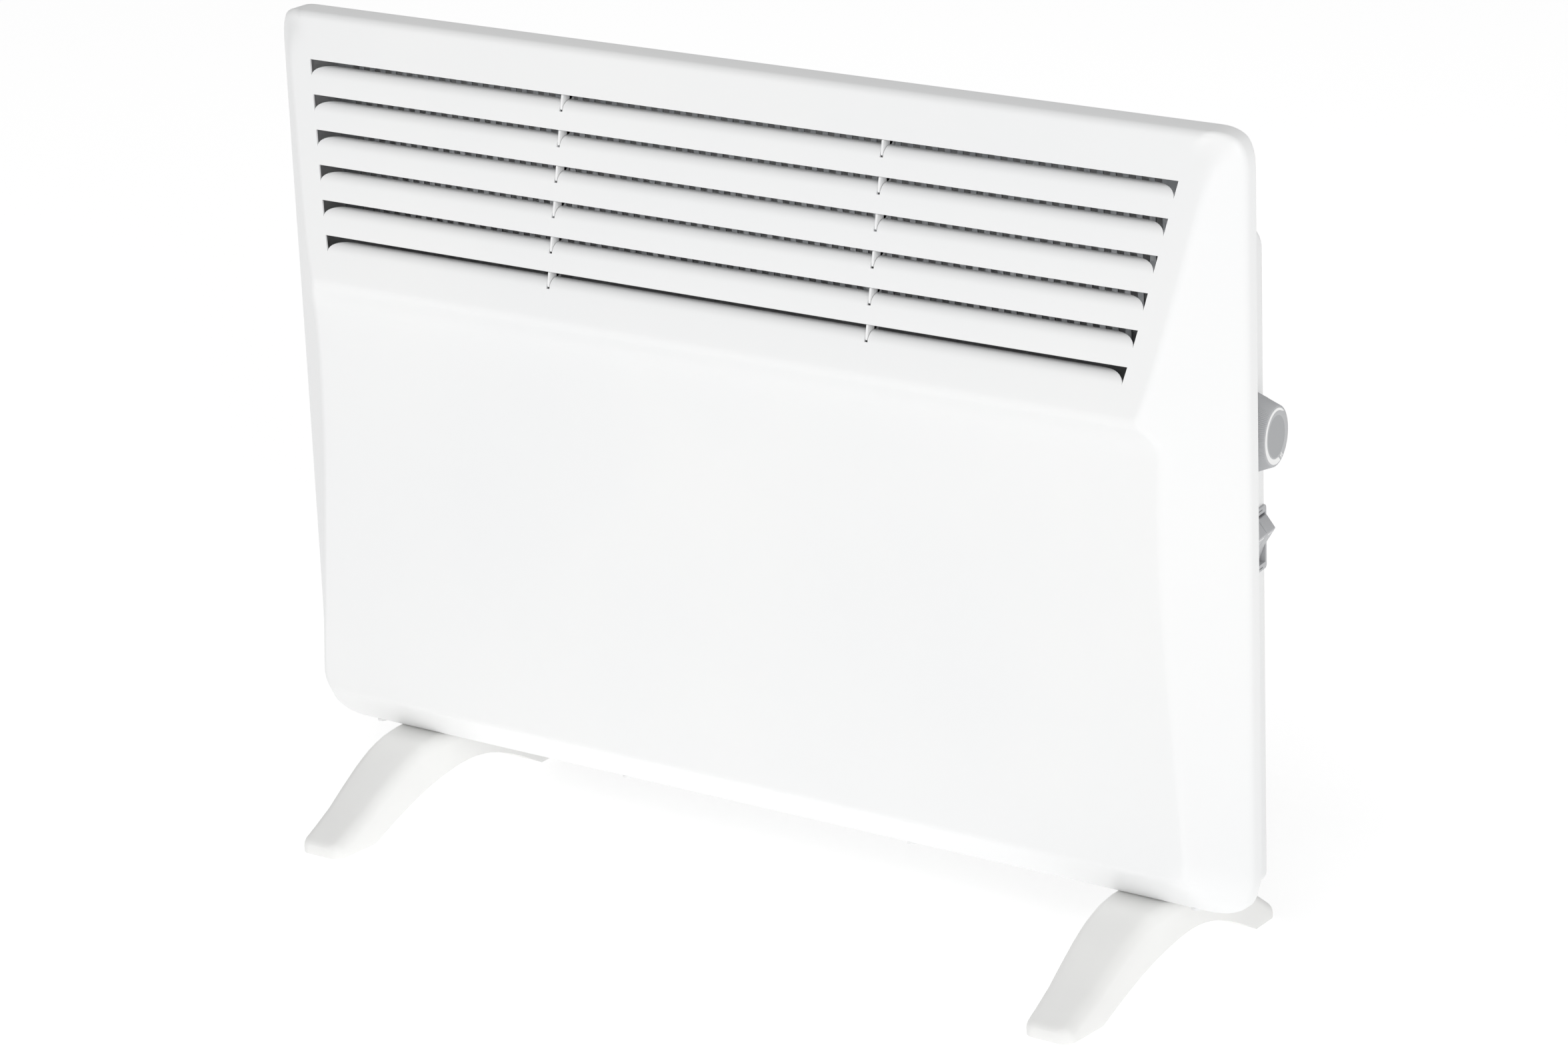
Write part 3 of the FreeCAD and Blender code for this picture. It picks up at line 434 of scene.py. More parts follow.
def sideSlope(h):
    # averaged over a short height, so that the chamfer twists without kinks
    return sum(along(panel["sideSlopes"], h + step) for step in (-14, -7, 0, 7, 14)) / 5


def outlineDistance(inset, h):
    # distance in from the rounded outline, and how much of it is measured from the top or bottom edge
    p = panel
    low = h < p["height"] / 2
    rise = h if low else p["height"] - h
    outer, inner = p["bottomCorner"] if low else p["topCorner"]
    width = mix(outer, inner, clamp(min(inset, rise) / p["cornerReach"]))
    share = clamp(0.5 + 0.5 * (inset - rise) / width)
    return mix(inset, rise, share) - width * share * (1 - share), share, low


def roundedStart(d, radius):
    return radius * math.sqrt(max(0.0, 1 - (1 - min(d, radius) / radius) ** 2))


def panelDepth(inset, h):
    # how far the sheet stands in front of the rim, at this height and distance in from the side
    p = panel
    plateau = plateauDepth(h)
    d, share, low = outlineDistance(inset, h)
    d = max(d, 0.0)
    start = p["skirt"] + roundedStart(d, p["fold"]) - p["fold"]
    side = softMin(plateau, start + d * sideSlope(h), p["creaseRound"])
    if low:
        end = softMin(plateau, start + d * p["bottomSlope"], p["creaseRound"])
    else:
        end = plateau - p["topRound"] + roundedStart(d, p["topRound"])
        share = share ** 2
    return mix(side, end, share)


def outlineInset(h):
    # where the rounded outline lies at this height
    low = 0.0
    high = panel["bottomCorner"][0] if h < panel["height"] / 2 else panel["topCorner"][0]
    for _ in range(30):
        middle = (low + high) / 2
        if outlineDistance(middle, h)[0] > 1e-6:
            high = middle
        else:
            low = middle
    return high


def slotRows():
    return [panel["firstSlot"] - panel["slotPitch"] * row for row in range(panel["slotCount"])]


def panelRows():
    p = panel
    start, step, count = p["faceRows"]
    rows = p["lowRows"] + [start + step * i for i in range(count)] + p["stepRows"] + p["highRows"]
    for top in slotRows():
        rows += [top - p["slotHeight"], top, top - p["slotHeight"] - p["stripMiddle"]]
    return sorted(set(rows))


def panelColumns(h):
    # insets of the columns of one side, from the outline to the middle
    p = panel
    start = outlineInset(h)
    crease = max((plateauDepth(h) - p["skirt"]) / sideSlope(h), start + p["creaseColumns"][-1])
    columns = [start + step for step in p["edgeColumns"]]
    first, last = columns[-1], crease + p["creaseColumns"][0]
    columns += [mix(first, last, i / 4) for i in (1, 2, 3)]
    columns += [crease + step for step in p["creaseColumns"]]
    ribOuter = p["half"] - p["ribOffset"] - p["slitHalf"]
    ribInner = ribOuter + 2 * p["slitHalf"]
    columns += [mix(crease + p["slotMargin"], ribOuter, i / 16) for i in range(17)]
    columns += [mix(ribInner, p["half"], i / 8) for i in range(9)]
    return columns


def pressPanel():
    # a flat sheet is ruled into rows and columns that follow the creases, then pressed to depth
    rows = panelRows()
    sideCount = len(panelColumns(200))
    columnCount = 2 * sideCount - 1
    deselect()
    bpy.ops.mesh.primitive_grid_add(x_subdivisions=columnCount - 1, y_subdivisions=len(rows) - 1, size=1)
    sheet = bpy.context.object
    sheet.name = sheet.data.name = "panelShell"
    insets = [panelColumns(h) for h in rows]
    for vertex in sheet.data.vertices:
        column = round((vertex.co.x + 0.5) * (columnCount - 1))
        row = round((vertex.co.y + 0.5) * (len(rows) - 1))
        side = -1 if column < sideCount else 1
        inset = insets[row][column if side < 0 else columnCount - 1 - column]
        x = side * (panel["half"] - inset)
        y = panel["rim"] - panelDepth(inset, rows[row])
        vertex.co = (mm(x), mm(y), mm(panel["bottom"] + rows[row]))
    return sheet


def slotHalf(top):
    h = top - panel["slotHeight"] / 2
    return panel["half"] - (plateauDepth(h) - panel["skirt"]) / sideSlope(h) - panel["slotMargin"]


def bendSkirt():
    # the outline is folded back to the rim
    bpy.ops.mesh.select_all(action="SELECT")
    bpy.ops.mesh.region_to_loop()
    bpy.ops.mesh.extrude_edges_move(TRANSFORM_OT_translate={"value": (0, mm(0.01), 0)})
    resize(1, 0, 1, (0, panel["rim"], 0))


def lanceSlot(top):
    # opens one slot and bends its tongue in from the lower edge, with slits where the ribs pass
    p = panel
    lean = math.radians(p["lean"])
    zTop, zLow = p["bottom"] + top, p["bottom"] + top - p["slotHeight"]
    yLow = p["rim"] - plateauDepth(zLow - p["bottom"])
    half = slotHalf(top)
    pick("faces", lambda c, n: zLow < c.z < zTop and abs(c.x) < half and c.y < p["rim"] - 10)
    bpy.ops.mesh.delete(type="FACE")
    blend = half - p["scoopBlend"]
    sweep = math.radians(p["scoopAngle"])
    y, z, shrink = yLow, zLow, 0.0
    for step in range(1, p["scoopSteps"] + 1):
        share = step / p["scoopSteps"]
        rise = p["scoopRadius"] * math.sin(sweep * share)
        depth = p["scoopRadius"] * (1 - math.cos(sweep * share))
        newY = yLow + rise * math.sin(lean) + depth * math.cos(lean)
        newZ = zLow + rise * math.cos(lean) - depth * math.sin(lean)
        pick("edges", lambda a, b: onLine(a, y, z) and onLine(b, y, z)
             and abs(a.x + b.x) / 2 < half and abs(abs(a.x + b.x) / 2 - p["ribOffset"]) > p["slitHalf"] * 0.9)
        bpy.ops.mesh.extrude_edges_move(TRANSFORM_OT_translate={"value": (0, mm(newY - y), mm(newZ - z))})
        newShrink = p["scoopEnd"] * (0.75 * share ** 2.2 + 0.25 * (1 - math.sqrt(max(0.0, 1 - share ** 2))))
        scale = (p["scoopBlend"] - newShrink) / (p["scoopBlend"] - shrink)
        for side in (-1, 1):
            pick("verts", lambda c: onLine(c, newY, newZ) and c.x * side > blend)
            resize(scale, 1, 1, (side * blend, newY, newZ))
        y, z, shrink = newY, newZ, newShrink


def onLine(c, y, z):
    return abs(c.y - y) < 0.03 and abs(c.z - z) < 0.03


def buildPanel():
    sheet = pressPanel()
    edit(sheet, "EDGE")
    bendSkirt()
    for top in slotRows():
        lanceSlot(top)
    bpy.ops.object.mode_set(mode="OBJECT")
    thicken(sheet, panel["sheet"])
    smooth(sheet, 40)
    dress(sheet, "coated_steel", "case", ["front_panel"])


buildPanel()
print("front panel made")

# comb ribs that cross the slots
comb = {"thickness": 1.2, "toothDepth": 9.5, "tipDepth": 2.0, "tipRound": 0.7, "tipRise": 0.9, "topGap": 0.2,
        "spineDepth": 4.0, "spineRise": 2.0, "edgeRound": 0.2}


def combTooth(centre, height):
    # a plate with its lower end drawn to a rounded tip
    v = comb
    half = v["thickness"] / 2
    tooth = addBox("tooth", (centre - half, 0, v["tipRise"]), (centre + half, v["toothDepth"], height - v["topGap"]))
    edit(tooth, "VERT")
    pick("verts", lambda c: c.y > 1 and c.z < height / 2)
    move(0, v["tipDepth"] - v["toothDepth"], 0)
    pick("edges", lambda a, b: a.z < height / 2 and b.z < height / 2 and abs(a.x - b.x) > 1)
    bevelPicked(v["tipRound"], 3)
    bpy.ops.object.mode_set(mode="OBJECT")
    return tooth


def leanBack(piece, y, z):
    # tips a piece back with the louvre field and puts its front edge flush
    piece.rotation_euler = (-math.radians(panel["lean"]), 0, 0)
    piece.location = (0, mm(y), mm(z))
    applyPlace(piece)


def buildComb(name, node):
    v = comb
    low, high = (Vector(corner) * 1000 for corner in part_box(node))
    centre = centreX(node)
    lean = math.radians(panel["lean"])
    middle = panel["slotHeight"] / 2
    firstTooth = combTooth(centre, panel["slotHeight"] / math.cos(lean))
    teeth = [firstTooth] + [copyPiece(firstTooth, "tooth") for _ in slotRows()[1:]]
    for tooth, top in zip(teeth, slotRows()):
        h = top - panel["slotHeight"]
        front = panel["rim"] - plateauDepth(h + middle)
        leanBack(tooth, front - middle * math.tan(lean), panel["bottom"] + h)
    spine = addBox("spine", (centre - v["thickness"] / 2, v["toothDepth"] - v["spineDepth"], 0),
                   (centre + v["thickness"] / 2, v["toothDepth"], (high.z - low.z) / math.cos(lean)))
    start = low.z + v["spineRise"]
    leanBack(spine, panel["rim"] - plateauDepth(start - panel["bottom"]), start)
    piece = joinPieces(name, teeth + [spine])
    soften(piece, v["edgeRound"], 2, 50)
    smooth(piece)
    return piece


combLeft = buildComb("combLeft", "louvre_rib_left")
dressPair(combLeft, "combRight", ("louvre_rib_left", "louvre_rib_right"), "coated_steel")
print("comb ribs made")

# rear housing: a drafted tray with a flange that sits in the panel
housing = {
    "wall": 1.0, "draft": 7.5, "rimHalf": 282.8, "topDrop": 23.0, "depth": 40.0, "corner": 6.0, "rearRound": 3.0,
    "tuck": 1.0, "flangeStep": 0.3, "flangeLow": 20.8, "flangeTop": 13.8, "fitGap": 0.2,
    "slotWidth": 4.0, "slotPitch": 9.0, "slotCount": 40, "slotLength": 24.0, "slotStart": 6.0,
    "embossHeight": 12.0, "embossDepth": 2.0, "embossInset": 60.0, "embossSlope": 2.4, "embossRing": 0.5,
    "embossLow": 90.0, "embossDrop": 60.0,
    "shaftHole": 4.0, "windowHalf": (12.3, 14.8), "cutReach": 6.0,
}


def buildHousing():
    v = housing
    low, high = (Vector(corner) * 1000 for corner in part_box("rear_housing"))
    bottom, rim = low.z, panel["rim"]
    rimTop = panel["bottom"] + panel["height"] - v["topDrop"]
    rear = rim + v["depth"]
    shift = v["depth"] * math.tan(math.radians(v["draft"]))
    start = rim - v["tuck"]
    piece = addBox("housingShell", (-v["rimHalf"], start, bottom), (v["rimHalf"], rear, rimTop))
    edit(piece, "VERT")
    pick("verts", lambda c: c.y > rear - 1)
    resize((v["rimHalf"] - shift) / v["rimHalf"], 1, 1, (0, rear, bottom))
    pick("verts", lambda c: c.y > rear - 1 and c.z > bottom + 10)
    move(0, 0, -v["depth"])
    bpy.ops.mesh.select_mode(type="EDGE")
    pick("edges", lambda a, b: abs(a.y - b.y) > 10)
    bevelPicked(v["corner"], 8)
    pick("edges", lambda a, b: a.y > rear - 0.1 and b.y > rear - 0.1)
    bevelPicked(v["rearRound"], 4)
    bpy.ops.mesh.select_mode(type="FACE")
    pick("faces", lambda c, n: n.y < -0.99)
    bpy.ops.mesh.delete(type="FACE")
    pressBars(rear, bottom, rimTop - v["depth"])
    bpy.ops.mesh.select_mode(type="EDGE")
    pick("edges", lambda a, b: a.y < start + 0.1 and b.y < start + 0.1)
    bpy.ops.mesh.extrude_edges_move(TRANSFORM_OT_translate={"value": (0, mm(-v["flangeStep"]), 0)})
    spreadFlange(bottom, rimTop)
    bpy.ops.object.mode_set(mode="OBJECT")
    thicken(piece, v["wall"])
    cutWith(piece, inletCutter(bottom))
    cutWith(piece, sideCutters())
    smooth(piece, 30)
    dress(piece, "coated_steel", "case", ["rear_housing"])


def spreadFlange(bottom, rimTop):
    # the selected rim is spread out to a flange that follows the panel's rounded outline
    v = housing
    inset = panel["sheet"] + v["fitGap"]
    edgeHalf = panel["half"] - inset
    edgeTop = panel["bottom"] + panel["height"] - inset
    mesh = bmesh.from_edit_mesh(bpy.context.object.data)
    for vertex in mesh.verts:
        if not vertex.select:
            continue
        x, z = vertex.co.x * 1000, vertex.co.z * 1000
        side = 1 if x > 0 else -1
        outX = abs(x) - (v["rimHalf"] - v["corner"])
        low = z < (bottom + rimTop) / 2
        outZ = (bottom + v["corner"] - z) if low else (z - rimTop + v["corner"])
        radius = v["flangeLow"] if low else v["flangeTop"]
        if outX >= -0.01 and outZ >= -0.01:
            angle = math.atan2(outZ, outX)
            newX = edgeHalf - radius + radius * math.cos(angle)
            reach = radius - radius * math.sin(angle)
        elif outX >= -0.01:
            newX = edgeHalf
            share = abs(z - (bottom if low else rimTop)) / (rimTop - bottom)
            reach = max(radius, (edgeTop - bottom) * share)
        else:
            newX = min(abs(x), edgeHalf - radius)
            reach = 0
        vertex.co.x = mm(side * newX)
        vertex.co.z = mm(bottom + reach if low else edgeTop - reach)
    bmesh.update_edit_mesh(bpy.context.object.data)


def pressBars(rear, bottom, rearTop):
    # two long bars pressed out of the rear wall
    v = housing
    half = v["rimHalf"] - v["depth"] * math.tan(math.radians(v["draft"])) - v["embossInset"]
    levels = [bottom + v["embossLow"], rearTop - v["embossDrop"]]
    sliceAcross("z", [z + step for z in levels for step in (0, v["embossHeight"])])
    sliceAcross("x", (-half, half))
    for z in levels:
        pick("faces", lambda c, n: n.y > 0.9 and z < c.z < z + v["embossHeight"] and abs(c.x) < half)
        bpy.ops.mesh.inset(thickness=mm(v["embossSlope"]), depth=0)
        move(0, v["embossDepth"], 0)
        bpy.ops.mesh.inset(thickness=mm(v["embossRing"]), depth=0)


def inletCutter(bottom):
    # air inlets: narrow slots with round ends, across the lower wall
    v = housing
    start = -(v["slotCount"] - 1) / 2 * v["slotPitch"]
    y = panel["rim"] + v["slotStart"]
    cutter = addBox("inletCutter", (start - v["slotWidth"] / 2, y, bottom - 3),
                    (start + v["slotWidth"] / 2, y + v["slotLength"], bottom + 4))
    edit(cutter, "EDGE")
    pick("edges", lambda a, b: abs(a.z - b.z) > 1)
    bevelPicked(v["slotWidth"] / 2 - 0.02, 4)
    bpy.ops.object.mode_set(mode="OBJECT")
    repeat = cutter.modifiers.new("row", "ARRAY")
    repeat.count = v["slotCount"]
    repeat.use_relative_offset = False
    repeat.use_constant_offset = True
    repeat.constant_offset_displace = (mm(v["slotPitch"]), 0, 0)
    finishModifier(cutter, repeat)
    return cutter


def sideCutters():
    # the hole for the thermostat shaft and the window for the switch
    v = housing
    turn, reach = math.radians(v["draft"]), v["cutReach"]
    hole = addCylinder("shaftHole", v["shaftHole"], -reach, reach, 32)
    placeOnWall(hole, jointNamed("knob_turn")["pos_m"], turn)
    halfY, halfZ = v["windowHalf"]
    window = addBox("switchWindow", (-reach, -halfY, -halfZ), (reach, halfY, halfZ))
    placeOnWall(window, jointNamed("rocker_front_press")["pos_m"], turn)
    return joinPieces("sideCutters", [hole, window])


buildHousing()
print("rear housing made")

# feet
foot = {
    "stations": 30, "width": 37.0, "frontWidth": 27.0, "rearWidth": 35.0, "widestFrom": -8.0, "widestTo": 41.0,
    "edgeRound": 6.5, "edgeShare": 0.62, "soleRound": 1.0, "toeRound": 6.0, "heelRound": 3.0,
    # extra sections near the toe and the heel
    "toeSteps": (0.2, 0.8, 1.8, 3.2, 4.8), "heelSteps": (0.2, 0.7, 1.6, 3.0),
    # upper outline, as (distance along Y, height)
    "upper": [(-95, 5.4), (-94.6, 6.4), (-93.6, 7.5), (-92, 8.4), (-90, 9.3), (-70, 18.6), (-56, 27.0), (-42, 34.8),
              (-30, 39.8), (-20, 42.4), (-8, 43.6), (41, 43.6), (47, 40.4), (78, 19.6), (88, 12.4), (94, 7.4),
              (94.7, 6.6), (95, 5.6)],
    "arch": 23.6, "crown": 12.0, "frontSole": 29.0, "rearSole": 19.0,
    "screwHole": 4.4, "screwFloor": 6.0,
}


def archHeight(y, low, high):
    # underside: two quarter waves that meet at the crown
    v = foot
    start = low + v["frontSole"] if y < v["crown"] else high - v["rearSole"]
    share = clamp((y - start) / (v["crown"] - start))
    return v["arch"] * math.sin(share * math.pi / 2)


def footHalfWidth(y, low, high):
    # plan outline: widest under the case, with rounded corners at toe and heel
    v = foot
    if y < v["widestFrom"]:
        half = mix(v["frontWidth"], v["width"], clamp((y - low) / (v["widestFrom"] - low))) / 2
        corner, run = v["toeRound"], y - low
    else:
        half = mix(v["rearWidth"], v["width"], clamp((high - y) / (high - v["widestTo"]))) / 2
        corner, run = v["heelRound"], high - y
    return half - corner + roundedStart(max(run, 0.0), corner)


def footSection(line, half, top, low):
    # one point of the upper section: lines 0 to 2 are flat, and lines 3 to 8 round down to the side
    v = foot
    edge = min(v["edgeRound"], v["edgeShare"] * (top - low))
    if line < 2:
        return (half - edge) * line / 2, top
    angle = math.radians(15 * (line - 2))
    return half - edge + edge * math.sin(angle), top - edge * (1 - math.cos(angle))


def buildFoot(name, node, screwNode):
    v = foot
    low, high = (Vector(corner) * 1000 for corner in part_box(node))
    centre = centreX(node)
    # a flat bar ruled by 17 lines along it and by sections across it, which then go to their places
    piece = addBox(name, (-8, low.y, 0), (8, high.y, 1))
    edit(piece, "VERT")
    sliceAcross("x", range(-7, 8))
    length = high.y - low.y
    places = [low.y + length * i / v["stations"] for i in range(1, v["stations"])]
    places += [low.y + v["frontSole"], high.y - v["rearSole"]]
    places += [low.y + step for step in v["toeSteps"]] + [high.y - step for step in v["heelSteps"]]
    sliceAcross("y", sorted({round(y, 2) for y in places}))
    mesh = bmesh.from_edit_mesh(piece.data)
    for vertex in mesh.verts:
        x, y, z = vertex.co * 1000
        half = footHalfWidth(y, low.y, high.y)
        base = archHeight(y, low.y, high.y)
        out, height = footSection(round(abs(x)), half, along(v["upper"], y), base)
        vertex.co = (mm(centre + math.copysign(out, x)), mm(y), mm(height if z > 0.5 else base))
    bmesh.update_edit_mesh(piece.data)
    bpy.ops.object.mode_set(mode="OBJECT")
    soften(piece, v["soleRound"], 3, 60)
    cutWith(piece, screwCutter(screwNode))
    smooth(piece, 40)
    return piece


def screwCutter(screwNode):
    # counterbores from below, one for each screw of this foot
    v = foot
    low, high = (Vector(corner) * 1000 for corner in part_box(screwNode))
    radius = (high.x - low.x) / 2
    top = panel["bottom"] - v["screwFloor"]
    under = 5.0
    deselect()
    bpy.ops.mesh.primitive_cylinder_add(vertices=40, radius=mm(v["screwHole"]), depth=mm(top + under),
                                        location=(mm(centreX(screwNode)), mm(low.y + radius), mm((top - under) / 2)))
    first = bpy.context.object
    applyPlace(first)
    second = copyPiece(first, "screwCutter", (0, high.y - low.y - 2 * radius, 0))
    return joinPieces("screwCutter", [first, second])


footLeft = buildFoot("footLeft", "foot_left", "foot_screws_left")
dressPair(footLeft, "footRight", ("foot_left", "foot_right"), "foot_plastic")
print("feet made")

# thermostat knob
knob = {
    "gap": 0.6, "length": 13.6, "baseRadius": 20.5, "faceRadius": 15.2, "teeth": 100, "toothDepth": 0.6,
    "rimRound": 0.7, "discRadius": 11.9, "discGap": 0.45, "discEdge": 0.3, "discInner": 4.0, "recess": 0.35,
    "recessEdge": 0.25, "backWall": 1.6, "backDepth": 6.0,
    # the printed crescent: angles in degrees from the rear, over the top, to the front
    "markRadius": 13.9, "markStart": 48.0, "markSweep": 240.0, "markThin": 0.8, "markWide": 2.9, "markHeight": 0.1,
    "markSteps": 48, "markEnd": 0.04, "plusAngle": 9.0, "plusSize": 2.8, "plusBar": 0.8,
}


def buildKnob():
    v = knob
    face = v["gap"] + v["length"]
    piece = addCylinder("knobBody", v["baseRadius"], v["gap"], face, 2 * v["teeth"], v["faceRadius"])
    edit(piece, "VERT")
    toothAngle = math.pi / v["teeth"]
    pick("verts", lambda c: round(math.atan2(c.z, c.y) / toothAngle) % 2 == 0)
    resize(1, 1 - v["toothDepth"] / v["baseRadius"], 1 - v["toothDepth"] / v["baseRadius"])
    bpy.ops.mesh.select_mode(type="FACE")
    pick("faces", lambda c, n: n.x > 0.9)
    # two small steps round the rim, then a flat ring, and a shallow step to the disc
    bpy.ops.mesh.inset(thickness=mm(v["rimRound"] * 0.3), depth=0)
    move(v["rimRound"] * 0.45, 0, 0)
    bpy.ops.mesh.inset(thickness=mm(v["rimRound"] * 0.7), depth=0)
    move(v["rimRound"] * 0.25, 0, 0)
    bpy.ops.mesh.inset(thickness=mm(v["faceRadius"] - v["rimRound"] - v["discRadius"]), depth=0)
    bpy.ops.mesh.inset(thickness=mm(v["recessEdge"]), depth=0)
    move(-v["recess"], 0, 0)
    # hollow from behind
    pick("faces", lambda c, n: n.x < -0.9)
    bpy.ops.mesh.inset(thickness=mm(v["backWall"]), depth=0)
    move(v["backDepth"], 0, 0)
    bpy.ops.object.mode_set(mode="OBJECT")
    smooth(piece, 25)
    return piece


def knobDisc():
    # a thin insert that fills the shallow recess of the face
    v = knob
    level = v["gap"] + v["length"] + v["rimRound"] * 0.7 - v["recess"]
    rise = v["recess"] * 0.4
    disc = addCylinder("knobDisc", v["discRadius"] - v["discGap"], level - 0.2, level + rise, 96)
    edit(disc, "FACE")
    pick("faces", lambda c, n: n.x > 0.9)
    bpy.ops.mesh.inset(thickness=mm(v["discEdge"]), depth=0)
    move(rise, 0, 0)
    bpy.ops.mesh.inset(thickness=mm(v["discInner"]), depth=0)
    bpy.ops.object.mode_set(mode="OBJECT")
    smooth(disc, 25)
    return disc


def knobMark():
    # printed crescent that grows from low to high heat, with a plus sign at its thick end
    v = knob
    level = v["gap"] + v["length"] + v["rimRound"] * 0.7
    deselect()
    bpy.ops.mesh.primitive_grid_add(x_subdivisions=v["markSteps"], y_subdivisions=1, size=1)
    mark = bpy.context.object
    for vertex in mark.data.vertices:
        share = vertex.co.x + 0.5
        width = mix(v["markThin"], v["markWide"], share ** 0.7)
        width *= math.sqrt(clamp(min(share, 1 - share) / v["markEnd"]))
        radius = v["markRadius"] + (0 if vertex.co.y > 0 else -width)
        angle = math.radians(v["markStart"] + v["markSweep"] * share)
        vertex.co = (mm(level), mm(radius * math.cos(angle)), mm(radius * math.sin(angle)))
    angle = math.radians(v["markStart"] + v["markSweep"] + v["plusAngle"])
    radius = v["markRadius"] - v["markWide"] / 2
    y, z = radius * math.cos(angle), radius * math.sin(angle)
    arms = []
    for dy, dz in ((v["plusSize"], v["plusBar"]), (v["plusBar"], v["plusSize"])):
        arms.append(addBox("arm", (level - 0.2, y - dy / 2, z - dz / 2),
                           (level + v["markHeight"], y + dy / 2, z + dz / 2)))
    activate(mark)
    thick = mark.modifiers.new("ink", "SOLIDIFY")
    thick.thickness = mm(v["markHeight"] + 0.1)
    thick.offset = 0
    finishModifier(mark, thick)
    edit(mark)
    bpy.ops.mesh.select_all(action="SELECT")
    bpy.ops.mesh.remove_doubles(threshold=mm(0.005))
    bpy.ops.mesh.normals_make_consistent(inside=False)
    bpy.ops.object.mode_set(mode="OBJECT")
    return joinPieces("knobMark", [mark] + arms)


wallTurn = math.radians(housing["draft"])
knobOrigin = jointNamed("knob_turn")["pos_m"]
knobBody, knobInsert, knobPrint = buildKnob(), knobDisc(), knobMark()
for piece in (knobBody, knobInsert, knobPrint):
    placeOnWall(piece, knobOrigin, wallTurn)
dress(knobBody, "control_plastic", "knob", ["knob"])
dress(knobInsert, "control_plastic", "knob", material=insertGrey)
dress(knobPrint, "control_plastic", "knob", material=printWhite)
print("knob made")

# twin rocker switch
switch = {"height": 33.0, "width": 25.0, "rim": 1.0, "edgeRound": 0.4, "cornerRound": 2.0, "pivotDepth": 0.5,
          "wellHalfY": 10.5, "wellHalfZ": 12.9, "wellDepth": 7.0, "rockerWidth": 9.9, "rockerGap": 0.6,
          "back": 3.0, "tilt": 12.0, "rockerRound": 0.8,
          # side outline of a rocker before it tilts, as (outwards, up): top, crest, middle, lower end, base
          "outline": [(0.9, 12.2), (6.0, 6.9), (2.3, -3.6), (1.0, -11.9), (0.0, -12.2)],
          "backTaper": 1.0, "lineLength": 5.0, "lineWidth": 0.7, "lineHeight": 0.1, "lineDrop": 1.7,
          "bodyWall": 1.8, "bodyDepth": 18.0, "bodyFront": 0.4,
          "strokeY": 5.2, "strokeLength": 4.0, "strokeZ": (-14.9, 14.7), "strokeWidth": 0.6, "strokeHeight": 0.06}


def buildBezel():
    v = switch
    piece = addBox("switchBezel", (0, -v["width"] / 2, -v["height"] / 2),
                   (v["rim"], v["width"] / 2, v["height"] / 2))
    edit(piece, "EDGE")
    pick("edges", lambda a, b: abs(a.x - b.x) > v["rim"] / 2)
    bevelPicked(v["cornerRound"], 5)
    pick("edges", lambda a, b: a.x > v["rim"] - 0.1 and b.x > v["rim"] - 0.1)
    bevelPicked(v["edgeRound"], 4)
    bpy.ops.object.mode_set(mode="OBJECT")
    halfY, halfZ = v["wellHalfY"], v["wellHalfZ"]
    block = addBox("block", (-v["bodyDepth"], -halfY - v["bodyWall"], -halfZ - v["bodyWall"]),
                   (v["bodyFront"], halfY + v["bodyWall"], halfZ + v["bodyWall"]))
    well = addBox("well", (-v["wellDepth"], -halfY, -halfZ), (5, halfY, halfZ))
    add = piece.modifiers.new("block", "BOOLEAN")
    add.operation = "UNION"
    add.solver = "EXACT"
    add.object = block
    finishModifier(piece, add)
    bpy.data.objects.remove(block)
    cutWith(piece, well)
    smooth(piece, 35)
    return piece


def bezelMarks():
    # small moulded strokes above and below each rocker
    v = switch
    y, (low, high) = v["strokeY"], v["strokeZ"]
    reach, half = v["strokeLength"] / 2, v["strokeWidth"] / 2
    first = addBox("stroke", (v["rim"] - 0.3, -y - reach, high - half),
                   (v["rim"] + v["strokeHeight"], -y + reach, high + half))
    shifts = [(0, 0, low - high), (0, 2 * y, 0), (0, 2 * y, low - high)]
    strokes = [first] + [copyPiece(first, "stroke", shift) for shift in shifts]
    return joinPieces("switchBezelMarks", strokes)


def buildRocker(name):
    # a wedge with a slanted top end: the upper half stands out and the lower half sinks in
    v = switch
    lowY = -v["rockerGap"] / 2 - v["rockerWidth"]
    top, crest, middle, end, base = v["outline"]
    piece = addBox(name, (-v["back"], lowY, base[1]), (base[0], lowY + v["rockerWidth"], top[1]))
    edit(piece, "FACE")
    pick("faces", lambda c, n: n.x > 0.9)
    bpy.ops.mesh.extrude_region_move(TRANSFORM_OT_translate={"value": (mm(1), 0, 0)})
    bpy.ops.mesh.select_mode(type="VERT")
    sliceAcross("z", (middle[1],))
    for (x, z), where in ((crest, top[1]), (middle, middle[1]), (end, base[1])):
        pick("verts", lambda c: c.x > base[0] + 0.5 and abs(c.z - where) < 0.1)
        move(x - base[0] - 1, 0, z - where)
    for side in (-1, 1):
        pick("verts", lambda c: c.x < -1 and c.z * side > 5)
        move(0, 0, -side * v["backTaper"])
    bpy.ops.object.mode_set(mode="OBJECT")
    soften(piece, v["rockerRound"], 4, 25)
    smooth(piece, 40)
    centre = lowY + v["rockerWidth"] / 2
    run = Vector((crest[0] - middle[0], 0, crest[1] - middle[1])).normalized()
    mark = Vector((crest[0], 0, crest[1])) - run * v["lineDrop"]
    line = addBox(name + "Line", (-0.3, centre - v["lineLength"] / 2, -v["lineWidth"] / 2),
                  (v["lineHeight"], centre + v["lineLength"] / 2, v["lineWidth"] / 2))
    line.rotation_euler = (0, math.atan2(run.x, run.z), 0)
    line.location = mark / 1000
    applyPlace(line)
    for part in (piece, line):
        part.rotation_euler = (0, math.radians(v["tilt"]), 0)
        part.location = (mm(-v["pivotDepth"]), 0, 0)
        applyPlace(part)
    return piece, line


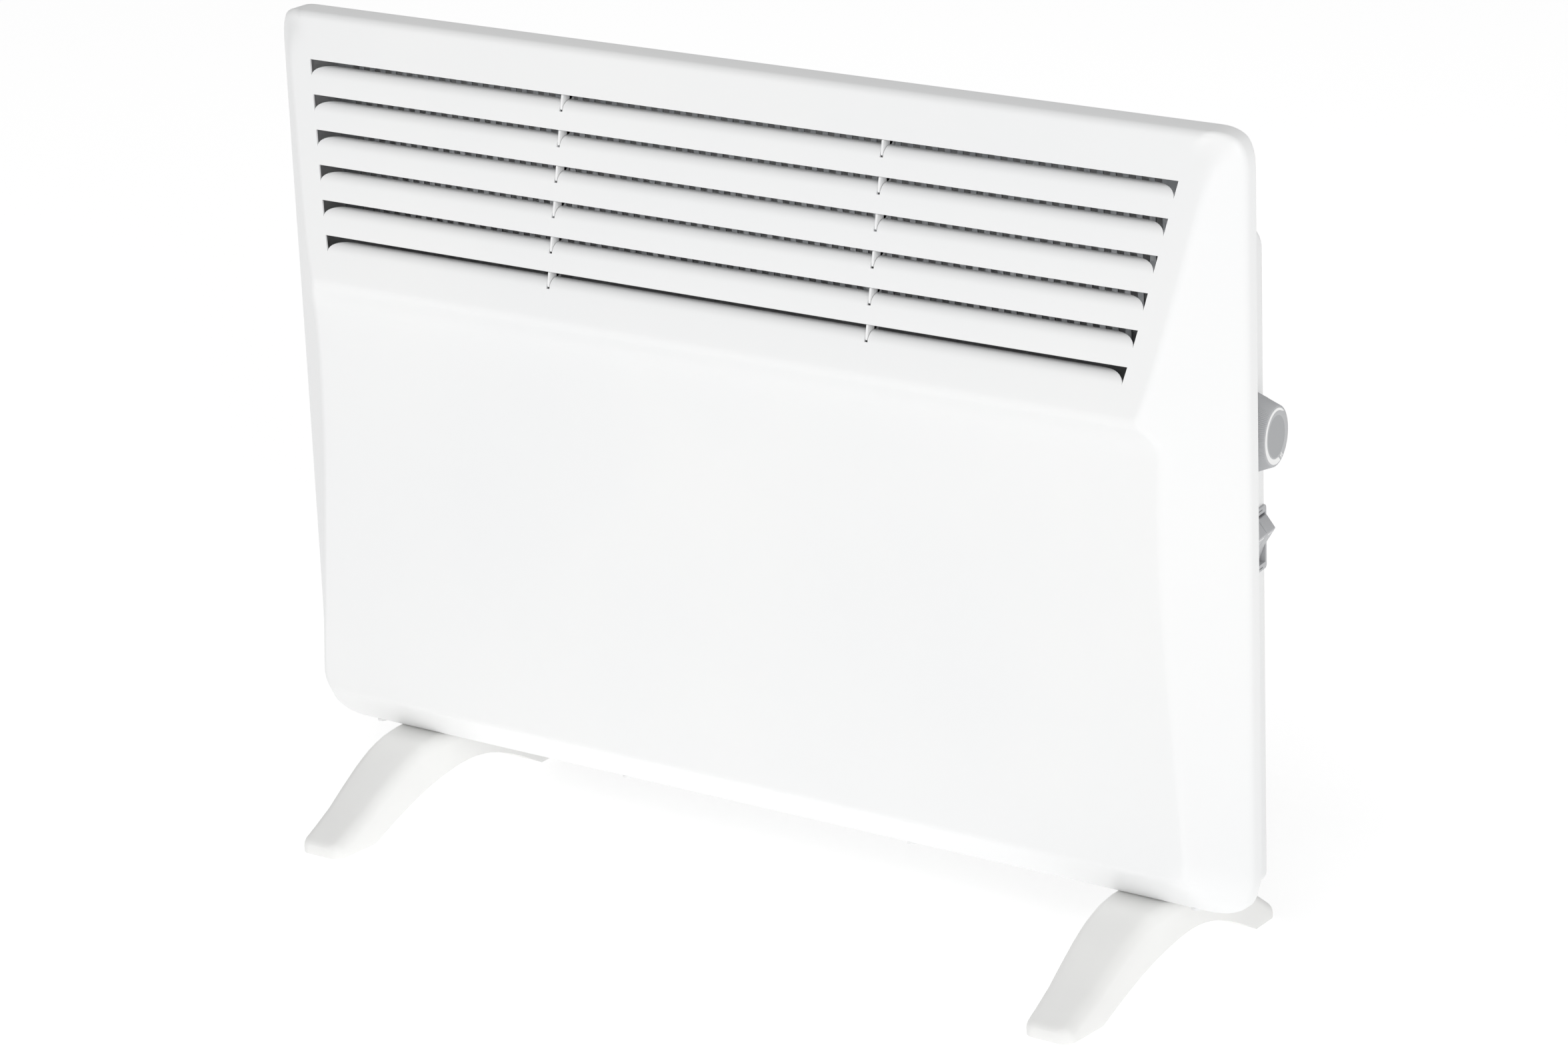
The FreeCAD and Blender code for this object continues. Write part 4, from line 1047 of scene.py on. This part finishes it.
def buildSwitch():
    v = switch
    pivot = Vector(jointNamed("rocker_front_press")["pos_m"])
    wallOrigin = pivot + Vector((math.cos(wallTurn), math.sin(wallTurn), 0)) * mm(v["pivotDepth"])
    bezel, marks = buildBezel(), bezelMarks()
    placeOnWall(bezel, wallOrigin, wallTurn)
    placeOnWall(marks, wallOrigin, wallTurn)
    dress(bezel, "control_plastic", "case", ["switch_body"])
    dress(marks, "control_plastic", "case", material=printDark)
    front = buildRocker("rockerFront")
    step = (0, v["rockerWidth"] + v["rockerGap"], 0)
    rear = copyPiece(front[0], "rockerRear", step), copyPiece(front[1], "rockerRearLine", step)
    for (piece, line), node in ((front, "rocker_front"), (rear, "rocker_rear")):
        placeOnWall(piece, wallOrigin, wallTurn)
        placeOnWall(line, wallOrigin, wallTurn)
        dress(piece, "control_plastic", node, [node])
        dress(line, "control_plastic", node, material=printWhite)


buildSwitch()
print("switch made")

# floor, light and camera
studio = {"floor": "#FBFBFB", "floorRadius": 14.0, "floorGlow": 0.43, "world": "#FFFFFF", "worldStrength": 0.48,
          "aim": (0, 0, 0.22),
          "lights": [
              # name, place, size, power in watts
              ("keyRight", (6.6, -4.4, 2.1), 3.6, 138),
              ("frontTop", (1.1, -4.5, 5.6), 4.0, 104),
              ("reflectLeft", (-3.4, -5.0, 1.7), 2.4, 12),
          ]}


def buildStage():
    deselect()
    bpy.ops.mesh.primitive_circle_add(vertices=96, radius=studio["floorRadius"], fill_type="NGON", location=(0, 0, 0))
    floor = bpy.context.object
    floor.name = "studioFloor"
    material, tree, body, place = newMaterial("seamless_paper_white", {"Roughness": 0.9})
    body.inputs["Base Color"].default_value = toLinear(studio["floor"])
    # the paper is lit from below as well, so that it stays white up to the horizon
    body.inputs["Emission Color"].default_value = toLinear(studio["floor"])
    body.inputs["Emission Strength"].default_value = studio["floorGlow"]
    floor.data.materials.append(material)
    bpy.context.scene.view_settings.view_transform = "Standard"
    world = bpy.data.worlds.new("studioWorld")
    bpy.context.scene.world = world
    world.use_nodes = True
    background = world.node_tree.nodes["Background"]
    background.inputs["Color"].default_value = toLinear(studio["world"])
    background.inputs["Strength"].default_value = studio["worldStrength"]
    for name, place, size, power in studio["lights"]:
        data = bpy.data.lights.new(name, "AREA")
        data.size = size
        data.energy = power
        light = bpy.data.objects.new(name, data)
        bpy.context.collection.objects.link(light)
        light.location = place
        toAim = Vector(studio["aim"]) - Vector(place)
        light.rotation_euler = toAim.to_track_quat("-Z", "Y").to_euler()


camera = {"azimuth": 36.36, "elevation": 18.59, "roll": -2.24, "distance": 2.651,
          "target": (0.0149, 0.0025, 0.2021), "lens": 118.58, "sensor": 36.0}


def buildCamera():
    v = camera
    azimuth, elevation, roll = (math.radians(v[k]) for k in ("azimuth", "elevation", "roll"))
    back = Vector((math.sin(azimuth) * math.cos(elevation), -math.cos(azimuth) * math.cos(elevation),
                   math.sin(elevation)))
    levelRight = Vector((math.cos(azimuth), math.sin(azimuth), 0))
    levelUp = back.cross(levelRight)
    right = levelRight * math.cos(roll) + levelUp * math.sin(roll)
    up = levelUp * math.cos(roll) - levelRight * math.sin(roll)
    data = bpy.data.cameras.new("studioCamera")
    data.lens = v["lens"]
    data.sensor_width = v["sensor"]
    data.sensor_fit = "HORIZONTAL"
    data.clip_end = 50
    view = bpy.data.objects.new("studioCamera", data)
    bpy.context.collection.objects.link(view)
    turn = Matrix((right, up, back)).transposed()
    view.matrix_world = Matrix.Translation(Vector(v["target"]) + back * v["distance"]) @ turn.to_4x4()
    bpy.context.scene.camera = view


buildStage()
buildCamera()
print("stage made")


deselect()
